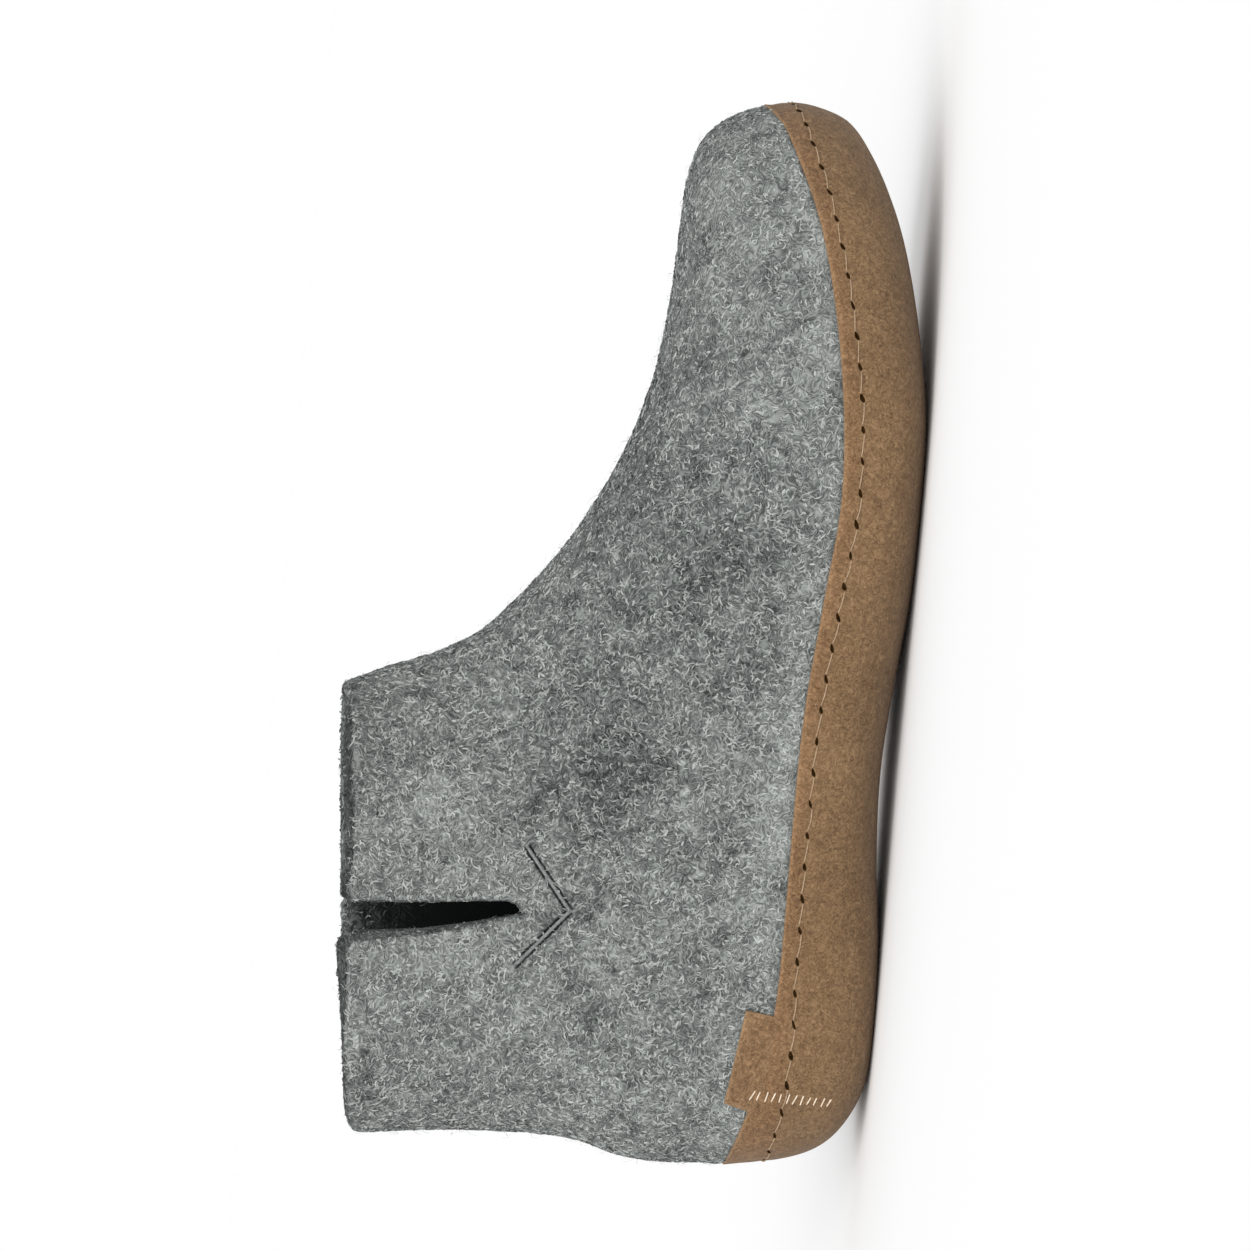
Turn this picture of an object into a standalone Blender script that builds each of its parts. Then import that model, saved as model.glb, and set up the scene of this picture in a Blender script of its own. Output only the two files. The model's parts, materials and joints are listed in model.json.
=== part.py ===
"""Felt slipper boot for the right foot.

A seamless felted upper, slit on both sides of its collar, is sewn into a moulded leather cup sole.
A felt insole lies inside, and a bare leather tab stands above the sole at the outer side of the heel.
Frame: +X to the toe, +Y to the inner side of the foot, +Z up, origin on the floor under the middle.
"""

import math

import bmesh
import bpy
import numpy as np

# Driving sizes, in millimetres
MM = 0.001
FELT_WALL = 5.5
FELT_RIM_ROUND = 0.9
SEAT_GAP = 0.3
LEATHER_SIDE = 1.6
LEATHER_TREAD = 3.0
INSOLE_THICKNESS = 3.0
INSOLE_RISE = 9.0
INSOLE_SECTIONS = slice(4, 17)
INSOLE_BEHIND_HEEL = 10.0
INNER_SLIT_WIDTH = 1.0
FLOOR = 0.0

# The collar: how far the outer wall leans out beside the slit, rises behind it and sags in front of it
SLIT_FLARE = 7.5
SLIT_FLARE_REACH = 34.0
SLIT_FLARE_CURVE = 1.4
REAR_LIFT = 3.1
REAR_LIFT_LEAD = 12.0
REAR_LIFT_BLEND = 5.0
FRONT_SAG = 1.0
SIDE_BLEND = 20.0

# How finely the last and the lines on it are divided
RINGS_PER_SECTION = 1.5
POINTS_PER_HALF_RING = 19
RING_SAMPLES = 241
EDGE_SAMPLES = 400
EDGE_STEP = 7.0
TAB_EDGE_POINTS = 6

# How far the cutters reach: forwards and backwards, to either side, and up at an inner form's lid
CUT_LENGTH = 148.0
CUT_WIDTH = 90.0
LID_RISE = 12.0

# The last, from the toe tip to the collar. Each section is a ring that leans from vertical across
# the toes to nearly level at the collar. It meets the front line (toe, instep, shin) and the back
# line (tread, heel, back of the shaft). level is how far up from the back line it is widest.
# back_square and front_square say how square each end of the ring is: 2 is an ellipse.
SECTION_COLUMNS = (
    "front_x", "front_z", "back_x", "back_z", "middle_y", "half_width",
    "level", "back_square", "front_square",
)
SECTIONS = (
    (140.1, 44.0, 140.1, 44.0, 9.8, 0.0, 0.40, 2.2, 2.0),
    (139.6, 52.6, 139.1, 35.8, 9.3, 9.6, 0.40, 2.2, 2.0),
    (136.7, 59.3, 136.2, 28.6, 7.8, 18.2, 0.40, 2.3, 2.0),
    (130.5, 64.4, 130.2, 23.0, 6.4, 26.6, 0.39, 2.5, 2.1),
    (121.3, 67.1, 121.2, 17.5, 5.1, 33.2, 0.37, 2.7, 2.1),
    (109.0, 68.2, 109.0, 12.6, 3.8, 39.3, 0.34, 2.9, 2.2),
    (94.0, 68.9, 94.0, 8.6, 2.5, 44.2, 0.31, 3.1, 2.2),
    (77.0, 70.4, 77.0, 5.3, 1.1, 47.3, 0.28, 3.3, 2.2),
    (59.0, 74.3, 59.0, 2.8, -0.4, 48.5, 0.26, 3.4, 2.2),
    (42.0, 80.2, 38.0, 2.4, -1.2, 47.4, 0.25, 3.4, 2.2),
    (26.5, 88.0, 16.0, 2.9, -1.4, 44.8, 0.25, 3.4, 2.1),
    (13.5, 96.8, -8.0, 5.2, -1.2, 41.2, 0.25, 3.4, 2.1),
    (3.2, 105.0, -32.0, 6.8, -1.0, 38.2, 0.25, 3.4, 2.1),
    (-3.6, 112.0, -56.0, 5.8, -0.8, 36.1, 0.25, 3.5, 2.1),
    (-8.0, 118.4, -79.0, 3.3, -0.5, 35.0, 0.26, 3.6, 2.2),
    (-10.8, 123.6, -99.0, 2.4, -0.3, 34.5, 0.27, 3.6, 2.2),
    (-12.3, 127.6, -114.0, 3.4, -0.1, 34.2, 0.29, 3.5, 2.2),
    (-13.4, 130.4, -124.2, 7.2, 0.0, 33.9, 0.32, 3.2, 2.2),
    (-14.3, 132.8, -131.2, 13.2, 0.0, 33.6, 0.36, 2.9, 2.2),
    (-15.1, 134.9, -135.6, 22.6, 0.0, 33.3, 0.40, 2.7, 2.2),
    (-15.9, 137.0, -138.7, 35.5, 0.0, 33.0, 0.44, 2.5, 2.2),
    (-16.6, 138.8, -140.7, 50.0, 0.0, 32.7, 0.47, 2.4, 2.2),
    (-17.3, 140.5, -139.9, 63.5, -0.1, 32.5, 0.49, 2.3, 2.2),
    (-17.9, 142.0, -137.1, 75.5, -0.2, 32.4, 0.50, 2.3, 2.2),
    (-18.5, 143.4, -136.3, 87.0, -0.9, 32.0, 0.50, 2.3, 2.2),
    (-19.1, 144.9, -136.5, 103.0, -1.7, 31.7, 0.50, 2.3, 2.2),
    (-19.7, 146.3, -138.1, 120.0, -2.6, 31.6, 0.50, 2.3, 2.2),
    (-20.4, 147.4, -140.1, 135.6, -3.4, 31.8, 0.50, 2.3, 2.2),
)

# The top edge of the leather side as seen from beside the boot, from the toe to the heel
LEATHER_EDGE_COLUMNS = ("x", "z")
LEATHER_EDGE = (
    (150.0, 57.0),
    (139.8, 46.2),
    (130.0, 40.8),
    (108.0, 32.4),
    (74.0, 25.4),
    (40.0, 22.4),
    (10.0, 24.6),
    (-25.0, 27.0),
    (-90.0, 27.1),
    (-116.0, 29.9),
    (-134.0, 33.9),
    (-150.0, 37.3),
)

# The open slit in the outer side: x of its front and rear edge at each height z
OUTER_SLIT_COLUMNS = ("z", "front_x", "rear_x")
OUTER_SLIT = (
    (95.0, -76.9, -77.5),
    (98.0, -76.5, -78.7),
    (108.0, -76.8, -82.0),
    (120.0, -77.3, -85.4),
    (142.0, -78.0, -89.2),
    (165.0, -78.7, -92.5),
)
SLIT_TIP_Z = 95.0
SLIT_MOUTH_Z = 142.0

# The bare tab: where its front and rear ends stand on the leather's edge, and its top corners (x, z)
TAB_FRONT_X = -98.9
TAB_REAR_X = -123.9
TAB_TOP_FRONT = (-97.8, 35.1)
TAB_TOP_REAR = (-122.0, 38.3)


def smooth_rows(rows, positions):
    """Rows of a table read at fractional row positions, on a curve that runs smoothly through them."""
    rows = np.asarray(rows, float)
    padded = np.vstack([2 * rows[0] - rows[1], rows, 2 * rows[-1] - rows[-2]])
    lower = np.clip(np.floor(positions).astype(int), 0, len(rows) - 2)
    u = (positions - lower)[:, None]
    before, start, end, after = (padded[lower + k] for k in range(4))
    return 0.5 * (
        2 * start
        + (end - before) * u
        + (2 * before - 5 * start + 4 * end - after) * u**2
        + (3 * start - before - 3 * end + after) * u**3
    )


def half_ring(section, side):
    """One side of a ring from the front line to the back line, as evenly spaced points in millimetres."""
    row = dict(zip(SECTION_COLUMNS, section))
    angle = np.linspace(0.0, math.pi, RING_SAMPLES)
    to_front = np.cos(angle) >= 0.0
    square = np.where(to_front, row["front_square"], row["back_square"])
    across = np.abs(np.sin(angle)) ** (2 / square)
    along = np.abs(np.cos(angle)) ** (2 / square)
    height = np.where(to_front, row["level"] + (1 - row["level"]) * along, row["level"] * (1 - along))
    points = np.column_stack([
        row["back_x"] + (row["front_x"] - row["back_x"]) * height,
        row["middle_y"] + side * row["half_width"] * across,
        row["back_z"] + (row["front_z"] - row["back_z"]) * height,
    ])
    travelled = np.concatenate([[0.0], np.cumsum(np.linalg.norm(np.diff(points, axis=0), axis=1))])
    wanted = np.linspace(0.0, travelled[-1], POINTS_PER_HALF_RING + 1)
    return np.column_stack([np.interp(wanted, travelled, points[:, axis]) for axis in range(3)])


def shape_collar(points):
    """At the collar the outer wall leans out beside the slit, rises behind it and sags in front."""
    slit_z, front_x, rear_x = np.asarray(OUTER_SLIT, float).T
    x, y, z = np.moveaxis(points, -1, 0)
    behind = np.interp(z, slit_z, (front_x + rear_x) / 2) - x
    rise = np.clip((z - SLIT_TIP_Z) / (SLIT_MOUTH_Z - SLIT_TIP_Z), 0.0, None)
    outer_side = np.clip(-y / SIDE_BLEND, 0.0, 1.0)
    flare = SLIT_FLARE * rise**SLIT_FLARE_CURVE * np.exp(-((behind / SLIT_FLARE_REACH) ** 2)) * outer_side
    rear_share = 1.0 / (1.0 + np.exp(-(behind + REAR_LIFT_LEAD) / REAR_LIFT_BLEND))
    lift = (REAR_LIFT * rear_share - FRONT_SAG) * rise**2 * outer_side
    return np.stack([x, y - flare, z + lift], axis=-1)


def last_rings():
    """The outside of the felt as a grid: rings from toe to collar, each starting down the outer side."""
    count = int((len(SECTIONS) - 1) * RINGS_PER_SECTION) + 1
    rings = []
    for section in smooth_rows(SECTIONS, np.linspace(0, len(SECTIONS) - 1, count)):
        outer_half = half_ring(section, -1.0)
        inner_half = half_ring(section, 1.0)
        rings.append(np.vstack([outer_half, inner_half[-2:0:-1]]))
    return shape_collar(np.array(rings))


def ring_normals(rings):
    """Outward unit normals of the grid. The toe tip, where one ring is a point, faces straight ahead."""
    along = np.gradient(rings, axis=0)
    around = np.roll(rings, -1, axis=1) - np.roll(rings, 1, axis=1)
    normals = np.cross(along, around)
    normals[0] = (1.0, 0.0, 0.0)
    return normals / np.linalg.norm(normals, axis=2, keepdims=True)


RINGS = last_rings()
NORMALS = ring_normals(RINGS)


def offset_rings(distance):
    """The grid moved outwards by a distance, or by one distance for each point."""
    return RINGS + NORMALS * np.asarray(distance)[..., None]


def sole_distance():
    """How far the sole's outside lies from the felt: the tread is thicker than the side."""
    facing_down = np.clip(-NORMALS[..., 2], 0.0, 1.0)
    return SEAT_GAP + LEATHER_SIDE + (LEATHER_TREAD - LEATHER_SIDE) * facing_down


def add_piece(name, mesh, colour, roughness):
    """A visible piece with its own material."""
    material = bpy.data.materials.new(name)
    material.use_nodes = True
    shader = material.node_tree.nodes["Principled BSDF"]
    shader.inputs["Base Color"].default_value = (*colour, 1.0)
    shader.inputs["Roughness"].default_value = roughness
    shader.inputs["Metallic"].default_value = 0.0
    mesh.materials.append(material)
    piece = bpy.data.objects.new(name, mesh)
    bpy.context.scene.collection.objects.link(piece)
    return piece


def add_cutter(name, mesh):
    """A hidden form that only cuts."""
    cutter = bpy.data.objects.new(name, mesh)
    bpy.context.scene.collection.objects.link(cutter)
    cutter.hide_render = True
    cutter.display_type = "WIRE"
    return cutter


def mesh_from(bm, name):
    """A mesh in metres from a bmesh in millimetres, with its faces turned outwards and shaded smooth."""
    bmesh.ops.recalc_face_normals(bm, faces=bm.faces)
    bmesh.ops.scale(bm, vec=(MM, MM, MM), verts=bm.verts)
    mesh = bpy.data.meshes.new(name)
    bm.to_mesh(mesh)
    bm.free()
    mesh.shade_smooth()
    mesh.set_sharp_from_angle(angle=math.radians(40))
    return mesh


def skin_rings(bm, rings):
    """Faces over a grid whose first ring is a point. Returns the vertices of the last ring."""
    tip = bm.verts.new(rings[0].mean(axis=0))
    loops = [[bm.verts.new(point) for point in ring] for ring in rings[1:]]
    bridge_tip(bm, tip, loops[0])
    for lower, upper in zip(loops, loops[1:]):
        bridge(bm, lower, upper)
    return loops[-1]


def bridge_tip(bm, tip, loop):
    for index, vertex in enumerate(loop):
        bm.faces.new((tip, loop[index - 1], vertex))


def bridge(bm, lower, upper):
    """Triangles between two loops, split the same way in every form, so that forms keep their distance."""
    for index in range(len(lower)):
        bm.faces.new((lower[index - 1], upper[index - 1], upper[index]))
        bm.faces.new((lower[index - 1], upper[index], lower[index]))


def closed_form(name, distance, lid_rise=0.0):
    """The last as a closed mesh, its surface moved outwards by a distance, with a lid on its collar."""
    rings = offset_rings(distance)
    bm = bmesh.new()
    collar = skin_rings(bm, rings)
    lid = bm.verts.new(rings[-1].mean(axis=0) + (0.0, 0.0, lid_rise))
    bridge_tip(bm, lid, collar)
    return mesh_from(bm, name)


def side_prism(name, outline, low_y, high_y):
    """A cutter: an outline of x and z, drawn from beside the boot, pushed through it from low_y to high_y."""
    bm = bmesh.new()
    face = bm.faces.new([bm.verts.new((x, low_y, z)) for x, z in outline])
    pushed = bmesh.ops.extrude_face_region(bm, geom=[face])["geom"]
    corners = [part for part in pushed if isinstance(part, bmesh.types.BMVert)]
    bmesh.ops.translate(bm, vec=(0.0, high_y - low_y, 0.0), verts=corners)
    return add_cutter(name, mesh_from(bm, name))


def boolean(item, other, operation, folded=False):
    """Cuts or keeps a piece by a form. A folded form is one that may cross itself far from the cut."""
    step = item.modifiers.new(f"{operation.lower()} {other.name}", "BOOLEAN")
    step.operation = operation
    step.solver = "EXACT"
    step.use_self = folded
    step.object = other


def edge_height(x):
    """Height of the leather's top edge at x, on a smooth line through its table."""
    line = smooth_rows(LEATHER_EDGE, np.linspace(0, len(LEATHER_EDGE) - 1, EDGE_SAMPLES))
    return np.interp(x, line[::-1, 0], line[::-1, 1])


def wall_between(piece, inside, outline, low_y, high_y):
    """Leaves of a closed form only its wall down to an inner form, within an outline from the side."""
    inside_mesh = closed_form(f"{piece.name}_inside", inside, LID_RISE)
    inner_form = add_cutter(f"{piece.name}_inside", inside_mesh)
    boolean(piece, inner_form, "DIFFERENCE", folded=True)
    boolean(piece, side_prism(f"{piece.name}_outline", outline, low_y, high_y), "INTERSECT")


def make_upper():
    """The felted upper: one hollow wall with a felt floor, open at the collar and slit down both sides."""
    outside = offset_rings(0.0)
    inside = offset_rings(-FELT_WALL)
    bm = bmesh.new()
    outer_rim = skin_rings(bm, outside)
    inner_rim = skin_rings(bm, inside)
    rise = np.array([0.0, 0.0, FELT_RIM_ROUND])
    rim_loops = [outer_rim]
    for share in (FELT_RIM_ROUND / FELT_WALL, 1 - FELT_RIM_ROUND / FELT_WALL):
        crest = outside[-1] + (inside[-1] - outside[-1]) * share + rise
        rim_loops.append([bm.verts.new(point) for point in crest])
    rim_loops.append(inner_rim)
    for lower, upper in zip(rim_loops, rim_loops[1:]):
        bridge(bm, lower, upper)
    upper = add_piece("upper", mesh_from(bm, "upper"), colour=(0.34, 0.37, 0.37), roughness=0.97)
    boolean(upper, outer_slit(), "DIFFERENCE")
    boolean(upper, inner_slit(), "DIFFERENCE")


def outer_slit():
    """The slit in the outer side stands open, wide at the collar and narrow at its tip."""
    front = [(front_x, z) for z, front_x, _ in OUTER_SLIT]
    rear = [(rear_x, z) for z, _, rear_x in reversed(OUTER_SLIT)]
    return side_prism("outer_slit", front + rear, -CUT_WIDTH, 0.0)


def inner_slit():
    """The slit in the inner side hangs closed, so it is a narrow cut along the outer slit's front edge."""
    front = [(front_x, z) for z, front_x, _ in OUTER_SLIT]
    rear = [(x - INNER_SLIT_WIDTH, z) for x, z in reversed(front)]
    return side_prism("inner_slit", front + rear, 0.0, CUT_WIDTH)


def make_sole():
    """The leather cup: tread and turned-up side in one, flat where heel and forefoot stand."""
    outside = closed_form("sole", sole_distance())
    sole = add_piece("sole", outside, colour=(0.27, 0.155, 0.075), roughness=0.85)
    x = np.arange(CUT_LENGTH, -CUT_LENGTH - 1.0, -EDGE_STEP)
    outline = [*zip(x, edge_height(x)), (x[-1], FLOOR), (x[0], FLOOR)]
    wall_between(sole, SEAT_GAP, outline, -CUT_WIDTH, CUT_WIDTH)


def make_insole():
    """A felt footbed that follows the floor of the upper and turns up a little at its sides."""
    outside = -(FELT_WALL + SEAT_GAP)
    insole = add_piece("insole", closed_form("insole", outside), colour=(0.30, 0.32, 0.32), roughness=0.97)
    rows = [dict(zip(SECTION_COLUMNS, row)) for row in SECTIONS[INSOLE_SECTIONS]]
    top = [(row["back_x"], row["back_z"] - outside + INSOLE_RISE) for row in rows]
    heel_x, heel_z = top[-1]
    heel_x -= INSOLE_BEHIND_HEEL
    outline = [*top, (heel_x, heel_z), (heel_x, FLOOR), (top[0][0], FLOOR)]
    wall_between(insole, outside - INSOLE_THICKNESS, outline, -CUT_WIDTH, CUT_WIDTH)


def make_side_tab():
    """The tab stands on the leather's edge at the outer side of the heel and lies on the felt."""
    outside = SEAT_GAP + LEATHER_SIDE
    tab = add_piece("side_tab", closed_form("side_tab", outside), colour=(0.30, 0.17, 0.09), roughness=0.85)
    x = np.linspace(TAB_REAR_X, TAB_FRONT_X, TAB_EDGE_POINTS)
    outline = [TAB_TOP_FRONT, TAB_TOP_REAR, *zip(x, edge_height(x) + SEAT_GAP)]
    wall_between(tab, SEAT_GAP, outline, -CUT_WIDTH, 0.0)


def main():
    for item in list(bpy.data.objects):
        bpy.data.objects.remove(item, do_unlink=True)
    make_upper()
    make_sole()
    make_insole()
    make_side_tab()


main()
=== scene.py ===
# %% [markdown]
# # A felt slipper boot
# The boot is felted from wool in one piece and sewn into a cup of napped leather. This lesson dresses
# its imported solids: the felt gets creases and thousands of loose fibres, the leather gets its nap,
# its thread and its needle holes. All sizes are in millimetres until a mesh is made, in metres.

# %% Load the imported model
import json
import math

import bpy
import numpy as np
from mathutils import Matrix, Vector, noise
from mathutils.bvhtree import BVHTree

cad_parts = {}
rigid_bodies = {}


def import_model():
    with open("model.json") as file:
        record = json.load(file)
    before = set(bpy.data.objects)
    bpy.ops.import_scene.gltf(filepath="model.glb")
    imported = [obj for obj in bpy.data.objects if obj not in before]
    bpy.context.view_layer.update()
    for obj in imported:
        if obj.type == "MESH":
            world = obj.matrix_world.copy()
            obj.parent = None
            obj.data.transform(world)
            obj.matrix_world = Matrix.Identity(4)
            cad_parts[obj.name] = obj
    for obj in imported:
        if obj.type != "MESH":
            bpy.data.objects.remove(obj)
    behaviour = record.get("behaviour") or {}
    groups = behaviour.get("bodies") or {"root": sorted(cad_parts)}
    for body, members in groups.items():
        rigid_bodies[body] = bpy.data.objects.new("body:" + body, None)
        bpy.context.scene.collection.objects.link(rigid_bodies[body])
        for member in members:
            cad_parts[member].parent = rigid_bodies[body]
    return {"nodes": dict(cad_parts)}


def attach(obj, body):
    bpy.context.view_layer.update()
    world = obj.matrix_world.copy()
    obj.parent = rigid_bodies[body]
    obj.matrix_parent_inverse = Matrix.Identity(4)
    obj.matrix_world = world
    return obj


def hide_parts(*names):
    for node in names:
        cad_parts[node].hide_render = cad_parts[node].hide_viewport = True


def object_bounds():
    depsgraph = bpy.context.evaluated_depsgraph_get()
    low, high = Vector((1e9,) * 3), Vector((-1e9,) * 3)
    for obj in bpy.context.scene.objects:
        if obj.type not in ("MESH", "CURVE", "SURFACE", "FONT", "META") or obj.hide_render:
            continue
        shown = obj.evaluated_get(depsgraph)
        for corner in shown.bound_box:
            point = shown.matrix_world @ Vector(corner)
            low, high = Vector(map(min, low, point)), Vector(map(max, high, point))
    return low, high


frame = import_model()
CAD_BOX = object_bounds()
SCENE = bpy.context.scene
MM = 0.001
print("solids:", ", ".join(sorted(frame["nodes"])))

# %% [markdown]
# ## The last
# A shoemaker shapes a boot over a last. Here the last is a short table: rings that stand upright
# across the toes, lean back over the instep and lie nearly level at the collar. Each row says where a
# ring meets the front line and the back line, how wide it is and how square. A sculpted mesh could
# give the same form, but a table keeps the felt, the leather and every stitch on one surface.

# %% The table of sections
SECTION_COLUMNS = (
    "front_x", "front_z", "back_x", "back_z", "middle_y", "half_width",
    "level", "back_square", "front_square",
)
SECTIONS = (
    (140.1, 44.0, 140.1, 44.0, 9.8, 0.0, 0.40, 2.2, 2.0),
    (139.6, 52.6, 139.1, 35.8, 9.3, 9.6, 0.40, 2.2, 2.0),
    (136.7, 59.3, 136.2, 28.6, 7.8, 18.2, 0.40, 2.3, 2.0),
    (130.5, 64.4, 130.2, 23.0, 6.4, 26.6, 0.39, 2.5, 2.1),
    (121.3, 67.1, 121.2, 17.5, 5.1, 33.2, 0.37, 2.7, 2.1),
    (109.0, 68.2, 109.0, 12.6, 3.8, 39.3, 0.34, 2.9, 2.2),
    (94.0, 68.9, 94.0, 8.6, 2.5, 44.2, 0.31, 3.1, 2.2),
    (77.0, 70.4, 77.0, 5.3, 1.1, 47.3, 0.28, 3.3, 2.2),
    (59.0, 74.3, 59.0, 2.8, -0.4, 48.5, 0.26, 3.4, 2.2),
    (42.0, 80.2, 38.0, 2.4, -1.2, 47.4, 0.25, 3.4, 2.2),
    (26.5, 88.0, 16.0, 2.9, -1.4, 44.8, 0.25, 3.4, 2.1),
    (13.5, 96.8, -8.0, 5.2, -1.2, 41.2, 0.25, 3.4, 2.1),
    (3.2, 105.0, -32.0, 6.8, -1.0, 38.2, 0.25, 3.4, 2.1),
    (-3.6, 112.0, -56.0, 5.8, -0.8, 36.1, 0.25, 3.5, 2.1),
    (-8.0, 118.4, -79.0, 3.3, -0.5, 35.0, 0.26, 3.6, 2.2),
    (-10.8, 123.6, -99.0, 2.4, -0.3, 34.5, 0.27, 3.6, 2.2),
    (-12.3, 127.6, -114.0, 3.4, -0.1, 34.2, 0.29, 3.5, 2.2),
    (-13.4, 130.4, -124.2, 7.2, 0.0, 33.9, 0.32, 3.2, 2.2),
    (-14.3, 132.8, -131.2, 13.2, 0.0, 33.6, 0.36, 2.9, 2.2),
    (-15.1, 134.9, -135.6, 22.6, 0.0, 33.3, 0.40, 2.7, 2.2),
    (-15.9, 137.0, -138.7, 35.5, 0.0, 33.0, 0.44, 2.5, 2.2),
    (-16.6, 138.8, -140.7, 50.0, 0.0, 32.7, 0.47, 2.4, 2.2),
    (-17.3, 140.5, -139.9, 63.5, -0.1, 32.5, 0.49, 2.3, 2.2),
    (-17.9, 142.0, -137.1, 75.5, -0.2, 32.4, 0.50, 2.3, 2.2),
    (-18.5, 143.4, -136.3, 87.0, -0.9, 32.0, 0.50, 2.3, 2.2),
    (-19.1, 144.9, -136.5, 103.0, -1.7, 31.7, 0.50, 2.3, 2.2),
    (-19.7, 146.3, -138.1, 120.0, -2.6, 31.6, 0.50, 2.3, 2.2),
    (-20.4, 147.4, -140.1, 135.6, -3.4, 31.8, 0.50, 2.3, 2.2),
)
print("sections:", len(SECTIONS))


# %% Read the table smoothly
def smooth_rows(rows, positions):
    """Rows of a table read at fractional row positions, on a curve that runs smoothly through them."""
    rows = np.asarray(rows, float)
    padded = np.vstack([2 * rows[0] - rows[1], rows, 2 * rows[-1] - rows[-2]])
    lower = np.clip(np.floor(positions).astype(int), 0, len(rows) - 2)
    u = (positions - lower)[:, None]
    before, start, end, after = (padded[lower + k] for k in range(4))
    return 0.5 * (
        2 * start
        + (end - before) * u
        + (2 * before - 5 * start + 4 * end - after) * u**2
        + (3 * start - before - 3 * end + after) * u**3
    )


def lengths_along(points):
    """The distance travelled along a path up to each of its points."""
    return np.concatenate([[0.0], np.cumsum(np.linalg.norm(np.diff(points, axis=0), axis=1))])


def read_along(values, lengths, wanted):
    """A path's points, or other vectors on it, read at the lengths that are wanted."""
    return np.column_stack([np.interp(wanted, lengths, values[:, axis]) for axis in range(3)])


# %% Half a ring of the last
LAST_STEPS = 24
HALF_COLUMNS = 180
LAST_COLUMNS = 2 * HALF_COLUMNS
RING_SAMPLES = 401


def half_ring(section, side):
    """One side of a ring from the front line to the back line, as evenly spaced points."""
    row = dict(zip(SECTION_COLUMNS, section))
    angle = np.linspace(0.0, math.pi, RING_SAMPLES)
    to_front = np.cos(angle) >= 0.0
    square = np.where(to_front, row["front_square"], row["back_square"])
    across = np.abs(np.sin(angle)) ** (2 / square)
    along = np.abs(np.cos(angle)) ** (2 / square)
    height = np.where(to_front, row["level"] + (1 - row["level"]) * along, row["level"] * (1 - along))
    points = np.column_stack([
        row["back_x"] + (row["front_x"] - row["back_x"]) * height,
        row["middle_y"] + side * row["half_width"] * across,
        row["back_z"] + (row["front_z"] - row["back_z"]) * height,
    ])
    lengths = lengths_along(points)
    return read_along(points, lengths, np.linspace(0.0, lengths[-1], HALF_COLUMNS + 1))


# %% The collar beside its slit
# Each row of the slit is a height, the x of its front edge and the x of its rear edge.
OUTER_SLIT = (
    (95.0, -76.9, -77.5),
    (98.0, -76.5, -78.7),
    (108.0, -76.8, -82.0),
    (120.0, -77.3, -85.4),
    (142.0, -78.0, -89.2),
    (165.0, -78.7, -92.5),
)
SLIT_Z, SLIT_FRONT_X, SLIT_REAR_X = np.asarray(OUTER_SLIT).T
SLIT_TIP_Z, SLIT_MOUTH_Z = 95.0, 142.0
SLIT_FLARE, SLIT_FLARE_REACH, SLIT_FLARE_CURVE = 7.5, 34.0, 1.4
REAR_LIFT, REAR_LIFT_LEAD, REAR_LIFT_BLEND = 3.1, 12.0, 5.0
FRONT_SAG, SIDE_BLEND = 1.0, 20.0


def middle_line(z):
    return np.interp(z, SLIT_Z, (SLIT_FRONT_X + SLIT_REAR_X) / 2)


def ramp(values, start, end):
    """0 up to the start, 1 from the end on, and straight between them."""
    return np.clip((values - start) / (end - start), 0.0, 1.0)


def fades(distance, reach):
    """1 at no distance, with a soft fall to almost 0 at twice the reach."""
    return np.exp(-((distance / reach) ** 2))


def shape_collar(points):
    """At the collar the outer wall leans out beside the slit, rises behind it and sags in front."""
    x, y, z = np.moveaxis(points, -1, 0)
    behind = middle_line(z) - x
    rise = np.clip((z - SLIT_TIP_Z) / (SLIT_MOUTH_Z - SLIT_TIP_Z), 0.0, None)
    outer_side = ramp(-y, 0.0, SIDE_BLEND)
    flare = SLIT_FLARE * rise**SLIT_FLARE_CURVE * fades(behind, SLIT_FLARE_REACH) * outer_side
    rear_share = 1.0 / (1.0 + np.exp(-(behind + REAR_LIFT_LEAD) / REAR_LIFT_BLEND))
    lift = (REAR_LIFT * rear_share - FRONT_SAG) * rise**2 * outer_side
    return np.stack([x, y - flare, z + lift], axis=-1)


# %% Build the last as a fine grid
def unit(vectors):
    return vectors / np.maximum(np.linalg.norm(vectors, axis=-1, keepdims=True), 1e-9)


def last_grid():
    """Rings from toe to collar. Each runs from the front line down the outer side and up the inner."""
    count = (len(SECTIONS) - 1) * LAST_STEPS + 1
    rings = [
        np.vstack([half_ring(section, -1.0), half_ring(section, 1.0)[-2:0:-1]])
        for section in smooth_rows(SECTIONS, np.linspace(0, len(SECTIONS) - 1, count))
    ]
    return shape_collar(np.array(rings))


LAST = last_grid()
around = np.roll(LAST, -1, axis=1) - np.roll(LAST, 1, axis=1)
LAST_NORMALS = np.cross(np.gradient(LAST, axis=0), around)
LAST_NORMALS[0] = (1.0, 0.0, 0.0)
LAST_NORMALS = unit(LAST_NORMALS)
JUST_BEFORE_END = len(LAST) - 1.001


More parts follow.
